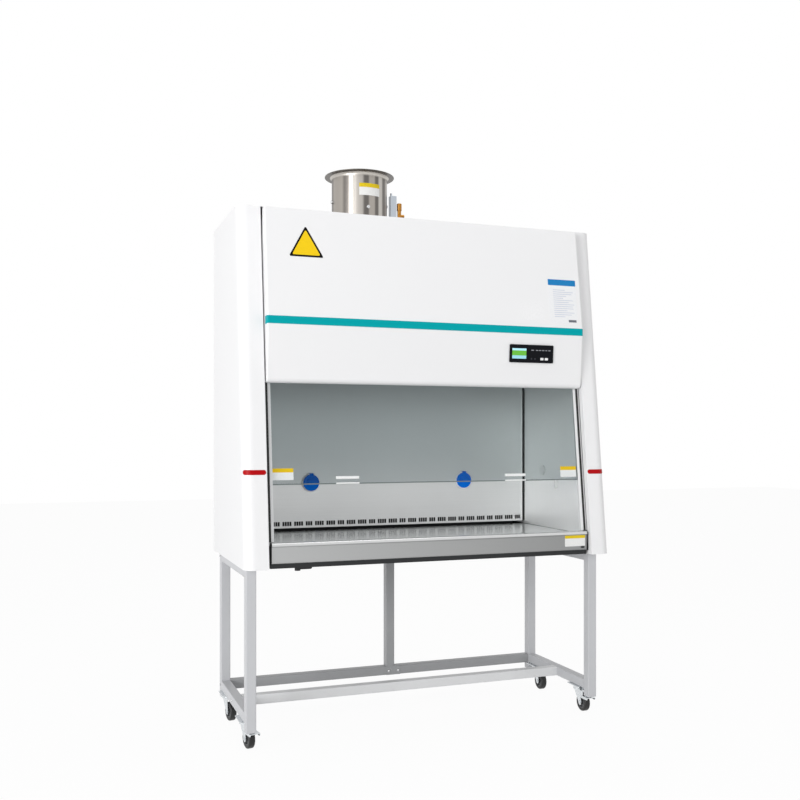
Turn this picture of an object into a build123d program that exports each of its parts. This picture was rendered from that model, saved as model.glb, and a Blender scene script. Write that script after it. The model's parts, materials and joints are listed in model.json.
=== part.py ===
"""Ducted biosafety cabinet on a wheeled square-tube stand.

Frame: millimetres, X to the right, Y to the back, Z up. The origin lies on the floor, under the middle of
the cabinet body. Lengths across the leaning front are measured along the slope, depths square to it.
"""
import os
from math import atan2, cos, radians, sin, tan

from build123d import *

os.makedirs("parts", exist_ok=True)

# Cabinet body
BODY_WIDTH = 1500.0
BODY_DEPTH = 682.0
BODY_HEIGHT = 1337.0
BASE_Z = 676.0
TOP_Z = BASE_Z + BODY_HEIGHT
FRONT_LEAN = 6.73
FRONT_Y = -BODY_DEPTH / 2
REAR_Y = BODY_DEPTH / 2
SHEET = 2.0
COVER_FACE = 88.0
COVER_CORNER = 40.0
COVER_EDGE = 4.0
COVER_FLANGE = 15.0
COVER_RETURN = 25.0
PANEL_GAP = 0.5
RUNNING_FIT = 0.05
SIDE_PLAY = 0.5
COVER_OUTER_X = BODY_WIDTH / 2
COVER_INNER_X = COVER_OUTER_X - COVER_FACE

# Work chamber
CHAMBER_GAP = 12.0
CHAMBER_HALF = COVER_INNER_X - CHAMBER_GAP
DUCT_DEPTH = 113.0
CHAMBER_BACK = REAR_Y - DUCT_DEPTH
WORKTOP_RISE = 80.0
WORKTOP_Z = BASE_Z + WORKTOP_RISE
CEILING_RISE = 724.0
CEILING_Z = BASE_Z + CEILING_RISE
TRAY_RIM = 25.0
TRAY_CORNER = 4.0
TRAY_SETBACK = 91.0
TRAY_FRONT = FRONT_Y + TRAY_SETBACK
TRAY_GAP = 4.0
LEDGE_WIDTH = 20.0
LEDGE_THICK = 3.0
WALL_RISE = 12.0
WALL_FOOT_Z = WORKTOP_Z + WALL_RISE
CORNER_SEAL = 8.0

# Slots along the foot of the rear wall: a row with a blank after every three, four and four
SLOT_HEIGHT = 18.0
SLOT_WIDTH = 8.4
SLOT_PITCH = 10.05
SLOT_PERIOD = 14
SLOT_BLANKS = (0, 5, 10)
SLOT_MARGIN = 10.0
SLOT_RISE = 18.0

# Front apron with its rolled arm rest and grille
APRON_GAP = 1.0
APRON_HALF = CHAMBER_HALF - APRON_GAP
APRON_SETBACK = 20.0
APRON_FACE_Y = FRONT_Y + APRON_SETBACK
APRON_FOOT_RISE = 17.0
APRON_FOOT_Z = BASE_Z + APRON_FOOT_RISE
APRON_FOOT_ROUND = 8.0
LIP_PROUD = 4.0
LIP_RISE = 14.0
LIP_Z = WORKTOP_Z + LIP_RISE
LIP_ROLL = 10.0
LIP_BAND = 13.0
REST_SETBACK = 53.0
REST_BACK_Y = FRONT_Y + REST_SETBACK
GRILLE_SLOT = 22.0
GRILLE_SLOT_WIDTH = 6.0
GRILLE_PITCH = 30.0
GRILLE_MARGIN = 50.0

# Front hood, as a section through its knee
HOOD_GAP = 6.0
HOOD_HALF = COVER_INNER_X - HOOD_GAP
HOOD_TOP_DROP = 10.0
HOOD_TOP_Z = TOP_Z - HOOD_TOP_DROP
HOOD_TOP_SETBACK = 117.0
HOOD_TOP_Y = FRONT_Y + HOOD_TOP_SETBACK
KNEE_SETBACK = 60.0
KNEE_Y = FRONT_Y + KNEE_SETBACK
KNEE_RISE = 890.0
KNEE_Z = BASE_Z + KNEE_RISE
STRIPE_HEIGHT = 29.0
HOOD_FOOT_RISE = 675.0
HOOD_FOOT_Z = BASE_Z + HOOD_FOOT_RISE
HOOD_FOOT_SETBACK = 75.0
HOOD_FOOT_Y = FRONT_Y + HOOD_FOOT_SETBACK
HOOD_BACK_SETBACK = 151.0
HOOD_BACK_Y = FRONT_Y + HOOD_BACK_SETBACK
HOOD_DEPTH = 24.0
HOOD_CORNER = 5.0
HOOD_FOOT_ROUND = 20.0
STRIPE_THICK = 1.0
STRIPE_WRAP = 36.0
HINGE_SETBACK = 155.0
HINGE_Y = FRONT_Y + HINGE_SETBACK
HINGE_RADIUS = 5.0
HINGE_PIN = 3.0
HINGE_LENGTH = 60.0
HINGE_LEAF = 4.0
HINGE_PLACES = (-450.0, 0.0, 450.0)
TOP_FLANGE = 45.0
TOP_CLEARANCE = 3.0
FLANGE_INSET = 4.0

# Control panel
BEZEL_WIDTH = 195.0
BEZEL_HEIGHT = 72.0
BEZEL_THICK = 5.0
BEZEL_CORNER = 4.0
BEZEL_X = 421.0
BEZEL_DROP = 80.0
BEZEL_Z = KNEE_Z - BEZEL_DROP
DISPLAY_WIDTH = 63.0
DISPLAY_HEIGHT = 41.0
DISPLAY_THICK = 1.5
DISPLAY_SUNK = 0.2
DISPLAY_FROM_LEFT = 41.5
KEY_WIDTH = 14.0
KEY_HEIGHT = 9.5
KEY_CORNER = 1.5
KEY_THICK = 3.0
KEY_PROUD = 1.2
KEY_TRAVEL = 1.0
KEY_GAP = 0.3
KEY_DROP = 20.0
POWER_KEY_FROM_MIDDLE = 46.0
FAN_KEY_FROM_MIDDLE = 66.0

# Sliding sash, depths behind the leaning front
GLASS_GAP = 4.0
GLASS_HALF = CHAMBER_HALF - GLASS_GAP
GLASS_HEIGHT = 660.0
GLASS_THICK = 6.0
GLASS_DEPTH = 32.0
GLASS_FOOT = 310.0
TRIM_HEIGHT = 4.0
GUIDE_DEPTH = 28.0
GUIDE_THICK = 14.0
GUIDE_LIP = 14.0
GUIDE_GAP = 1.0
GUIDE_TOP = 1310.0
GUIDE_OPEN_FROM = 733.0
RUNNER_GAP = 2.0
GLASS_PLAY = 1.0
SASH_SEAL_INSET = 11.0
SASH_SEAL_WIDTH = 8.0
SASH_SEAL_THICK = 2.0
HANDLE_X = 350.0
HANDLE_WIDTH = 90.0
HANDLE_BAR = 11.0
HANDLE_TOP = 25.0
HANDLE_LIP = 5.0
HANDLE_PROUD = 8.0
HANDLE_ROUND = 3.0
CARRIER_GRIP = 21.0
CARRIER_REACH = 10.0
CARRIER_RISE = 5.0
CARRIER_HEIGHT = 30.0
CARRIER_THICK = 10.5

# Counterweights behind the side covers
ROPE_INSET = 50.0
ROPE_X = COVER_OUTER_X - ROPE_INSET
ROPE_RADIUS = 1.5
PULLEY_RADIUS = 25.0
PULLEY_RIM = 4.0
PULLEY_WIDTH = 12.0
PULLEY_DROP = 28.0
PULLEY_PLATE = 30.0
AXLE_RADIUS = 6.0
WEIGHT_WIDTH = 44.0
WEIGHT_DEPTH = 50.0
WEIGHT_HEIGHT = 380.0
WEIGHT_DROP = 533.0
WEIGHT_TOP_Z = TOP_Z - WEIGHT_DROP

# Air handling above the chamber
FILTER_HEIGHT = 70.0
FILTER_GAP = 5.0
FILTER_HALF = CHAMBER_HALF - FILTER_GAP
FILTER_BACK_GAP = 3.0
FILTER_BACK = CHAMBER_BACK - FILTER_BACK_GAP
FILTER_DEPTH = 52.0
AIR_BOX_HEIGHT = 88.0
DIFFUSER_SLOT = 80.0
DIFFUSER_SLOT_WIDTH = 17.0
DIFFUSER_PITCH = (110.0, 70.0)
DIFFUSER_COUNT = (11, 5)
BLOWER_X = 250.0
BLOWER_Y = 30.0
BLOWER_RADIUS = 170.0
BLOWER_WIDTH = 190.0
BLOWER_FOOT = 40.0
BLOWER_EYE = 90.0
WHEEL_RADIUS = 125.0
WHEEL_WIDTH = 130.0
WHEEL_CLEARANCE = 20.0
BLADES = 16
BLADE_LENGTH = 30.0
WHEEL_HUB = 24.0
MOTOR_RADIUS = 60.0
MOTOR_LENGTH = 110.0
MOTOR_CAP = 8.0
SHAFT_RADIUS = 8.0
SHAFT_HOLE_GAP = 1.0
EXHAUST_FILTER_SIZE = (460.0, 270.0, 96.0)
CONTROL_BOX_SIZE = (300.0, 200.0, 90.0)
CONTROL_BOX_X = -420.0

# Exhaust collar
COLLAR_X = -210.0
COLLAR_Y = 20.0
COLLAR_RADIUS = 112.5
COLLAR_WALL = 2.0
COLLAR_HEIGHT = 196.0
COLLAR_TOP_Z = TOP_Z + COLLAR_HEIGHT
COLLAR_FLANGE = 28.5
COLLAR_FLARE = 12.0
COLLAR_FOOT_RING = 11.5
COLLAR_KNOB = 7.0
COLLAR_KNOB_LENGTH = 8.0
SIDE_KNOB_RISE = 88.0
SIDE_KNOB_Z = TOP_Z + SIDE_KNOB_RISE
FRONT_KNOB_RISE = 53.0
FRONT_KNOB_Z = TOP_Z + FRONT_KNOB_RISE

# Bracket and fitting beside the collar
BRACKET_X = -71.0
BRACKET_Y = 5.0
BRACKET_WIDTH = 26.0
BRACKET_DEPTH = 24.0
BRACKET_HEIGHT = 129.0
BRACKET_PIN = 4.0
BRACKET_PIN_LENGTH = 12.0
FITTING_X = -42.0
FITTING_HEIGHT = 102.0
FITTING_HEX = 13.0
FITTING_HEX_HEIGHT = 30.0
FITTING_NECK = 8.0
FITTING_CAP = 10.0
FITTING_CAP_HEIGHT = 30.0
FITTING_CAP_ROUND = 3.0
FITTING_ARM = 7.0
FITTING_ARM_LENGTH = 20.0
FITTING_ARM_RISE = 50.0

# Lamps
LAMP_RADIUS = 8.0
LAMP_SETBACK = 93.0
LAMP_Y = FRONT_Y + LAMP_SETBACK
LAMP_DROP = 15.0
LAMP_Z = CEILING_Z - LAMP_DROP
LAMP_INSET = 35.0
LAMP_HOLDER = 25.0
HOLDER_RIM = 2.0
HOLDER_LAP = 6.0
UV_LENGTH = 900.0
UV_FROM_WALL = 20.0

# Sockets on the rear wall
SOCKET_MIDDLE_X = -8.0
SOCKET_X = 352.0
SOCKET_RISE = 202.0
SOCKET_Z = WORKTOP_Z + SOCKET_RISE
SOCKET_RADIUS = 34.0
SOCKET_RING = 38.0
SOCKET_WELL = 26.0
SOCKET_BASE = 8.0
SOCKET_LID = 8.0
SOCKET_PIN = 2.0
LID_EDGE_ROUND = 2.0
LID_HINGE_RISE = 2.0
LID_KNUCKLE = 2.0
EAR_SPACING = 9.5
EAR_WIDTH = 5.0
EAR_HALF = 3.0
GRIP_RADIUS = 11.0
GRIP_LOBE = 9.0
GRIP_HEIGHT = 4.0

# Fittings on the right wall
PLUG_FROM_WALL = 180.0
PLUG_RISE = 249.0
PLUG_Z = WORKTOP_Z + PLUG_RISE
PLUG_RADIUS = 22.0
PLUG_HEIGHT = 5.0
HOOK_FROM_WALL = 304.0
HOOK_RISE = 193.0
HOOK_Z = WORKTOP_Z + HOOK_RISE
HOOK_HEIGHT = 32.0
HOOK_WIDTH = 8.0
HOOK_REACH = 12.0

# Drain valve
DRAIN_X = -524.0
DRAIN_SETBACK = 141.0
DRAIN_Y = FRONT_Y + DRAIN_SETBACK
DRAIN_RADIUS = 11.0
DRAIN_BORE = 6.0
DRAIN_HEIGHT = 26.0
DRAIN_BLOCK = 14.0
LEVER_LENGTH = 59.0
LEVER_WIDTH = 14.0
LEVER_THICK = 4.0
LEVER_PIVOT = 3.0
PIVOT_END = 1.0

# Cable gland on the top cover
GLAND_INSET = 90.0
GLAND_HEX = 14.0
GLAND_HEX_HEIGHT = 10.0
GLAND_BODY = 11.0
GLAND_HEIGHT = 24.0
GLAND_BORE = 5.0

# Stand
STAND_INSET = 19.0
STAND_WIDTH = BODY_WIDTH - 2 * STAND_INSET
STAND_SETBACK = 79.0
STAND_FRONT_Y = FRONT_Y + STAND_SETBACK
STAND_FROM_REAR = 37.0
STAND_BACK_Y = REAR_Y - STAND_FROM_REAR
TUBE = 38.0
TUBE_WALL = 2.0
TUBE_CORNER = 3.0
LEG_FOOT_Z = 75.0
RAIL_Z = 104.0
POST_X = 12.0
SPLICE_WIDTH = 64.0
SPLICE_X = 25.0
SPLICE_BOLT_INSET = 10.0
BOLT_RADIUS = 5.0
BOLT_HEAD = 4.0

# Casters, each with the angle that its fork has turned to
CASTER_WHEEL = 37.5
TYRE_WIDTH = 24.0
TYRE_ROUND = 5.0
HUB_RADIUS = 26.0
HUB_WIDTH = 26.0
HUB_STEP = 1.0
HUB_DISH = 5.0
HUB_BOSS = 10.0
CASTER_TRAIL = 34.0
FRONT_CASTER_INSET = 106.0
REAR_CASTER_INSET = 88.0
LEFT_TURN = 10.0
RIGHT_TURN = 0.0
CASTER_PLATE = (64.0, 92.0, 3.0)
PLATE_CORNER = 6.0
RACE_RADIUS = 24.0
RACE_HEIGHT = 9.0
RACE_WEB = 1.0
FORK_SHEET = 2.5
FORK_GAP = 1.5
FORK_CROWN = 7.0
FORK_EYE = 12.0
FORK_ROUND = 4.0
FORK_BACK = 12.0
AXLE_BOLT = 4.0
AXLE_NUT = 6.5
AXLE_NUT_HEIGHT = 3.0
KING_PIN = 6.0
KING_PIN_GAP = 2.0
PEDAL_PIVOT = 2.5
PEDAL_FORWARD = 18.0
PEDAL_EAR = (24.0, 28.0)
PEDAL_REACH = 45.0
PEDAL_TREAD = 30.0
PEDAL_ARM = 10.0
PEDAL_Z = 64.0
PEDAL_THICK = 3.0
PEDAL_CORNER = 3.0

# Worked out from the sizes above
LEAN = radians(FRONT_LEAN)
CENTRE_HALF = COVER_INNER_X - PANEL_GAP
FRONT = Plane(origin=(0, FRONT_Y, BASE_Z), x_dir=(1, 0, 0), z_dir=(0, -cos(LEAN), sin(LEAN)))


def front_y(z, depth=0.0):
    """Y of the leaning front at height z, or of the plane that lies depth behind it."""
    return FRONT_Y + (z - BASE_Z) * tan(LEAN) + depth / cos(LEAN)


def slope_at(z, depth=0.0):
    """Length up the slope at which the plane that lies depth behind the front reaches height z."""
    return (z - BASE_Z + depth * sin(LEAN)) / cos(LEAN)


def on_front(x, s, depth):
    """Point at x and s up the slope, depth behind the leaning front."""
    return FRONT.from_local_coords(Vector(x, s, -depth))


def facing(y):
    """Upright plane at y that looks to the front, with Z as its second direction."""
    return Plane(origin=(0, y, 0), x_dir=(1, 0, 0), z_dir=(0, -1, 0))


def save(shape, name):
    """Label a finished piece, or a group of like pieces, and write it as one node."""
    group = Compound(children=list(shape)) if isinstance(shape, (list, tuple)) else shape
    group.label = name
    export_step(group, f"parts/{name}.step")


def box_between(low, high):
    """Plain block between two corners."""
    with BuildPart() as block:
        with Locations([(Vector(*low) + Vector(*high)) * 0.5]):
            Box(*(Vector(*high) - Vector(*low)))
    return block.part


def rod(foot, radius, length):
    """Round bar that stands on the plane foot."""
    with BuildPart() as bar:
        with BuildSketch(foot):
            Circle(radius)
        extrude(amount=length)
    return bar.part


def tube(foot, length):
    """Square tube that stands on the plane foot, closed at its foot."""
    with BuildPart() as piece:
        with BuildSketch(foot):
            RectangleRounded(TUBE, TUBE, TUBE_CORNER)
        extrude(amount=length)
        with BuildSketch(foot.offset(TUBE_WALL)):
            Rectangle(TUBE - 2 * TUBE_WALL, TUBE - 2 * TUBE_WALL)
        extrude(amount=length, mode=Mode.SUBTRACT)
    return piece.part


def mirrored(shape):
    """The same piece on the other side of the cabinet."""
    return mirror(shape, about=Plane.YZ)


# Side frames: two legs, a top rail and a lower rail
FRAME_X = (STAND_WIDTH - TUBE) / 2
FRONT_LEG_Y = STAND_FRONT_Y + TUBE / 2
REAR_LEG_Y = STAND_BACK_Y - TUBE / 2
RAIL_LENGTH = REAR_LEG_Y - FRONT_LEG_Y - TUBE


def side_frame(x):
    """Tubes of one side frame."""
    legs = [tube(Plane.XY.offset(LEG_FOOT_Z).move(Location((x, y, 0))), BASE_Z - LEG_FOOT_Z)
            for y in (FRONT_LEG_Y, REAR_LEG_Y)]
    rails = []
    for z in (RAIL_Z, BASE_Z - TUBE):
        foot = Plane(origin=(x, FRONT_LEG_Y + TUBE / 2, z + TUBE / 2), x_dir=(1, 0, 0), z_dir=(0, 1, 0))
        rails.append(tube(foot, RAIL_LENGTH))
    return legs + rails


save(side_frame(-FRAME_X), "left_stand_frame")
save(side_frame(FRAME_X), "right_stand_frame")


def cross_rail(y, z):
    """Tube that runs between the two side frames."""
    foot = Plane(origin=(-FRAME_X + TUBE / 2, y, z + TUBE / 2), x_dir=(0, 1, 0), z_dir=(1, 0, 0))
    return tube(foot, 2 * FRAME_X - TUBE)


post_foot = Plane.XY.offset(RAIL_Z + TUBE).move(Location((POST_X, REAR_LEG_Y, 0)))
post = tube(post_foot, BASE_Z - RAIL_Z - 2 * TUBE)
splice = box_between((SPLICE_X - SPLICE_WIDTH / 2, REAR_LEG_Y - TUBE / 2 - SHEET, RAIL_Z),
                     (SPLICE_X + SPLICE_WIDTH / 2, REAR_LEG_Y - TUBE / 2, RAIL_Z + TUBE))
save([cross_rail(REAR_LEG_Y, RAIL_Z), cross_rail(REAR_LEG_Y, BASE_Z - TUBE), post, splice], "rear_stand_frame")
MIDDLE_Y = (FRONT_LEG_Y + REAR_LEG_Y) / 2
save(cross_rail(MIDDLE_Y, RAIL_Z), "middle_stand_rail")

# Casters: top plate with the upper race, fork with king pin and axle, wheel, brake pedal
PLATE_BOTTOM = RAIL_Z - CASTER_PLATE[2]
RACE_BOTTOM = PLATE_BOTTOM - RACE_HEIGHT
FORK_TOP = RACE_BOTTOM - PANEL_GAP
FORK_INSIDE = HUB_WIDTH / 2 + FORK_GAP
FORK_WIDTH = 2 * (FORK_INSIDE + FORK_SHEET)


def caster_plate(x, y):
    """Top plate and race of one caster, with the bore for the king pin."""
    with BuildPart() as plate:
        with BuildSketch(Plane.XY.offset(PLATE_BOTTOM)):
            with Locations((x, y)):
                RectangleRounded(CASTER_PLATE[0], CASTER_PLATE[1], PLATE_CORNER)
        extrude(amount=CASTER_PLATE[2])
        with BuildSketch(Plane.XY.offset(RACE_BOTTOM)):
            with Locations((x, y)):
                Circle(RACE_RADIUS)
        extrude(amount=RACE_HEIGHT)
        with BuildSketch(Plane.XY.offset(RACE_BOTTOM)):
            with Locations((x, y)):
                Circle(KING_PIN + RUNNING_FIT)
        extrude(amount=RACE_HEIGHT - RACE_WEB, mode=Mode.SUBTRACT)
    return plate.part


def fork(x, y, braked):
    """Fork that trails towards the front, with its king pin and axle bolt."""
    wheel_y = y - CASTER_TRAIL
    with BuildPart() as piece:
        with BuildSketch(Plane.XY.offset(FORK_TOP - FORK_CROWN)):
            with Locations((x, y)):
                Circle(RACE_RADIUS)
            with Locations((x, y - CASTER_TRAIL / 2)):
                Rectangle(FORK_WIDTH, CASTER_TRAIL)
        extrude(amount=FORK_CROWN)
        with BuildSketch(Plane.XY.offset(FORK_TOP)):
            with Locations((x, y)):
                Circle(KING_PIN)
        extrude(amount=RACE_HEIGHT - KING_PIN_GAP)
        for side in (-1, 1):
            cheek = Plane.YZ.offset(x + side * (FORK_INSIDE + FORK_SHEET / 2))
            with BuildSketch(cheek) as outline:
                with BuildLine():
                    Polyline((y + FORK_BACK, FORK_TOP - FORK_CROWN), (wheel_y, FORK_TOP - FORK_CROWN),
                             (wheel_y - FORK_EYE, CASTER_WHEEL),
                             (wheel_y - FORK_EYE / 2, CASTER_WHEEL - FORK_EYE),
                             (wheel_y + FORK_EYE / 2, CASTER_WHEEL - FORK_EYE),
                             (wheel_y + FORK_EYE, CASTER_WHEEL), close=True)
                make_face()
                fillet(outline.vertices().group_by(Axis.Y)[0], FORK_ROUND)
            extrude(amount=FORK_SHEET / 2, both=True)
            if braked:
                with BuildSketch(cheek):
                    with Locations((wheel_y - PEDAL_EAR[0] / 2, PEDAL_Z + PEDAL_EAR[1] / 2 - PEDAL_PIVOT * 2)):
                        Rectangle(*PEDAL_EAR)
                extrude(amount=FORK_SHEET / 2, both=True)
                with BuildSketch(Plane.YZ.offset(x + side * (FORK_INSIDE + FORK_SHEET))):
                    with Locations((wheel_y - PEDAL_FORWARD, PEDAL_Z)):
                        Circle(PEDAL_PIVOT)
                extrude(amount=side * (PEDAL_THICK + 2 * PANEL_GAP))
        with BuildSketch(Plane.YZ.offset(x - FORK_INSIDE)):
            with Locations((wheel_y, CASTER_WHEEL)):
                Circle(AXLE_BOLT)
        extrude(amount=2 * FORK_INSIDE)
        for side in (-1, 1):
            with BuildSketch(Plane.YZ.offset(x + side * (FORK_INSIDE + FORK_SHEET))):
                with Locations((wheel_y, CASTER_WHEEL)):
                    RegularPolygon(AXLE_NUT, 6)
            extrude(amount=side * AXLE_NUT_HEIGHT)
    return piece.part


def wheel(x, y):
    """Tyre and dished hub of one wheel."""
    with BuildPart() as tyre:
        with BuildSketch(Plane.YZ.offset(x)):
            with Locations((y, CASTER_WHEEL)):
                Circle(CASTER_WHEEL)
                Circle(HUB_RADIUS, mode=Mode.SUBTRACT)
        extrude(amount=TYRE_WIDTH / 2, both=True)
        outer = tyre.edges().filter_by(GeomType.CIRCLE).group_by(SortBy.RADIUS)[-1]
        fillet(outer, TYRE_ROUND)
    with BuildPart() as hub:
        with BuildSketch(Plane.YZ.offset(x)):
            with Locations((y, CASTER_WHEEL)):
                Circle(HUB_RADIUS)
        extrude(amount=TYRE_WIDTH / 2 - HUB_STEP, both=True)
        for side in (-1, 1):
            with BuildSketch(Plane.YZ.offset(x + side * (TYRE_WIDTH / 2 - HUB_STEP))):
                with Locations((y, CASTER_WHEEL)):
                    Circle(HUB_RADIUS - HUB_DISH)
                    Circle(HUB_BOSS, mode=Mode.SUBTRACT)
            extrude(amount=-side * HUB_DISH, mode=Mode.SUBTRACT)
        with BuildSketch(Plane.YZ.offset(x)):
            with Locations((y, CASTER_WHEEL)):
                Circle(HUB_BOSS)
        extrude(amount=HUB_WIDTH / 2, both=True)
        with BuildSketch(Plane.YZ.offset(x)):
            with Locations((y, CASTER_WHEEL)):
                Circle(AXLE_BOLT + RUNNING_FIT)
        extrude(amount=HUB_WIDTH, both=True, mode=Mode.SUBTRACT)
    return [tyre.part, hub.part]


def brake_pedal(x, y):
    """Brake pedal: two arms on the fork's pivots and a ribbed tread in front of the wheel."""
    pivot_y = y - CASTER_TRAIL - PEDAL_FORWARD
    arm_x = FORK_INSIDE + FORK_SHEET + PANEL_GAP + PEDAL_THICK / 2
    tread_y = pivot_y - PEDAL_REACH
    with BuildPart() as pedal:
        for side in (-1, 1):
            with BuildSketch(Plane.YZ.offset(x + side * arm_x)):
                with Locations(((pivot_y + tread_y) / 2 + PEDAL_ARM / 4, PEDAL_Z)):
                    SlotOverall(PEDAL_REACH + PEDAL_ARM / 2, PEDAL_ARM)
                with Locations((pivot_y, PEDAL_Z)):
                    Circle(PEDAL_PIVOT + RUNNING_FIT, mode=Mode.SUBTRACT)
            extrude(amount=PEDAL_THICK / 2, both=True)
        with BuildSketch(Plane.XY.offset(PEDAL_Z + PEDAL_ARM / 2 - PEDAL_THICK)):
            with Locations((x, tread_y + PEDAL_TREAD / 2)):
                RectangleRounded(2 * arm_x + PEDAL_THICK, PEDAL_TREAD, PEDAL_CORNER)
        extrude(amount=PEDAL_THICK)
    return pedal.part


FRONT_CASTER_Y = STAND_FRONT_Y + FRONT_CASTER_INSET
REAR_CASTER_Y = STAND_BACK_Y - REAR_CASTER_INSET
caster_spots = {
    "front_left": (-FRAME_X, FRONT_CASTER_Y, LEFT_TURN),
    "front_right": (FRAME_X, FRONT_CASTER_Y, RIGHT_TURN),
    "rear_left": (-FRAME_X, REAR_CASTER_Y, LEFT_TURN),
    "rear_right": (FRAME_X, REAR_CASTER_Y, RIGHT_TURN),
}
save([caster_plate(x, y) for x, y, turn in caster_spots.values()], "caster_plates")
for corner, (spot_x, spot_y, turn) in caster_spots.items():
    king_pin = Axis((spot_x, spot_y, 0), (0, 0, 1))
    has_brake = corner.startswith("front")
    save(fork(spot_x, spot_y, has_brake).rotate(king_pin, turn), f"fork_{corner}")
    save([piece.rotate(king_pin, turn) for piece in wheel(spot_x, spot_y - CASTER_TRAIL)], f"wheel_{corner}")
    if has_brake:
        save(brake_pedal(spot_x, spot_y).rotate(king_pin, turn), f"brake_pedal_{corner}")


def cover_block(inset, inner_x):
    """Solid block in the shape of the right cover, inset all round from its outside."""
    low = BASE_Z + inset
    high = TOP_Z - inset
    back = REAR_Y - inset
    with BuildPart() as block:
        with BuildSketch(Plane.YZ.offset(inner_x)):
            with BuildLine():
                Polyline((front_y(low, inset), low), (back, low), (back, high), (front_y(high, inset), high),
                         close=True)
            make_face()
        extrude(amount=COVER_OUTER_X - inset - inner_x)
        side = block.faces().sort_by(Axis.X)[-1]
        fillet(side.edges().sort_by(Axis.Y)[0], COVER_CORNER - inset)
        side = block.faces().sort_by(Axis.X)[-1]
        fillet(side.edges().sort_by(Axis.Y)[-1], COVER_EDGE - inset / 2)
    return block.part


# Side covers: folded shells, open towards the inside of the cabinet
with BuildPart() as right_cover:
    add(cover_block(0, COVER_INNER_X))
    add(cover_block(SHEET, COVER_INNER_X + SHEET), mode=Mode.SUBTRACT)
    with BuildSketch(Plane.YZ.offset(COVER_INNER_X)):
        with BuildLine():
            WINDOW_LOW = BASE_Z + COVER_FLANGE
            WINDOW_HIGH = TOP_Z - COVER_FLANGE
            Polyline((front_y(WINDOW_LOW, COVER_RETURN), WINDOW_LOW), (REAR_Y - COVER_FLANGE, WINDOW_LOW),
                     (REAR_Y - COVER_FLANGE, WINDOW_HIGH), (front_y(WINDOW_HIGH, COVER_RETURN), WINDOW_HIGH),
                     close=True)
        make_face()
    extrude(amount=SHEET, mode=Mode.SUBTRACT)
save(right_cover.part, "right_side_cover")
save(mirrored(right_cover.part), "left_side_cover")

# Rear cover
save(box_between((-CENTRE_HALF, REAR_Y - SHEET, BASE_Z), (CENTRE_HALF, REAR_Y, TOP_Z)), "rear_cover")

# Top cover with the duct hole, its front flange and the fixed knuckles and pins of the hood hinges
HINGE_Z = HOOD_TOP_Z + HINGE_RADIUS - SHEET / 2
TOP_FRONT_Y = HINGE_Y + HINGE_RADIUS + TOP_CLEARANCE
FLANGE_HALF = HOOD_HALF - FLANGE_INSET
with BuildPart() as top_cover:
    add(box_between((-CENTRE_HALF, TOP_FRONT_Y, TOP_Z - SHEET), (CENTRE_HALF, REAR_Y - SHEET, TOP_Z)))
    add(box_between((-FLANGE_HALF, TOP_FRONT_Y, TOP_Z - TOP_FLANGE), (FLANGE_HALF, TOP_FRONT_Y + SHEET, TOP_Z)))
    with BuildSketch(Plane.XY.offset(TOP_Z - SHEET)):
        with Locations((COLLAR_X, COLLAR_Y)):
            Circle(COLLAR_RADIUS - COLLAR_WALL)
    extrude(amount=SHEET, mode=Mode.SUBTRACT)
    for hinge_x in HINGE_PLACES:
        with BuildSketch(Plane.YZ.offset(hinge_x + SIDE_PLAY)):
            with Locations((HINGE_Y, HINGE_Z)):
                Circle(HINGE_RADIUS)
            with Locations(((HINGE_Y + TOP_FRONT_Y) / 2, HINGE_Z)):
                Rectangle(TOP_FRONT_Y - HINGE_Y, SHEET)
        extrude(amount=HINGE_LENGTH / 2 - SIDE_PLAY)
        with BuildSketch(Plane.YZ.offset(hinge_x - HINGE_LENGTH / 2)):
            with Locations((HINGE_Y, HINGE_Z)):
                Circle(HINGE_PIN)
        extrude(amount=HINGE_LENGTH)
save(top_cover.part, "top_cover")


def hood_outline(inset):
    """Corners of the hood's section in Y and Z, from the top down the front and back up."""
    knee_top = KNEE_Z + STRIPE_HEIGHT
    back_foot = front_y(HOOD_FOOT_Z, HOOD_DEPTH)
    straight_z = BASE_Z + (HOOD_BACK_Y - HOOD_DEPTH / cos(LEAN) - FRONT_Y) / tan(LEAN)
    if inset:
        return [(HOOD_TOP_Y + inset, HOOD_TOP_Z - inset), (KNEE_Y + inset, knee_top), (KNEE_Y + inset, KNEE_Z),
                (HOOD_FOOT_Y + inset, HOOD_FOOT_Z + inset), (REAR_Y, HOOD_FOOT_Z + inset),
                (REAR_Y, HOOD_TOP_Z - inset)]
    return [(HOOD_TOP_Y, HOOD_TOP_Z), (KNEE_Y, knee_top), (KNEE_Y, KNEE_Z), (HOOD_FOOT_Y, HOOD_FOOT_Z),
            (back_foot, HOOD_FOOT_Z), (HOOD_BACK_Y, straight_z), (HOOD_BACK_Y, HOOD_TOP_Z)]


def hood_block(inset):
    """Solid hood, inset all round from its outside, with a rolled foot and rounded front corners."""
    with BuildPart() as block:
        with BuildSketch(Plane.YZ) as profile:
            with BuildLine():
                Polyline(*hood_outline(inset), close=True)
            make_face()
            fillet(profile.vertices().group_by(Axis.Y)[0].sort_by(Axis.X)[0], HOOD_FOOT_ROUND - inset)
        extrude(amount=HOOD_HALF - inset, both=True)
        for place in (0, -1):
            end = block.faces().sort_by(Axis.X)[place]
            front = end.edges().filter_by(lambda edge: edge.center().Y < HOOD_BACK_Y - HOOD_DEPTH
                                          and abs(edge.tangent_at(0.5).Z) > 0.3)
            fillet(front, HOOD_CORNER - inset)
    return block.part


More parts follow.
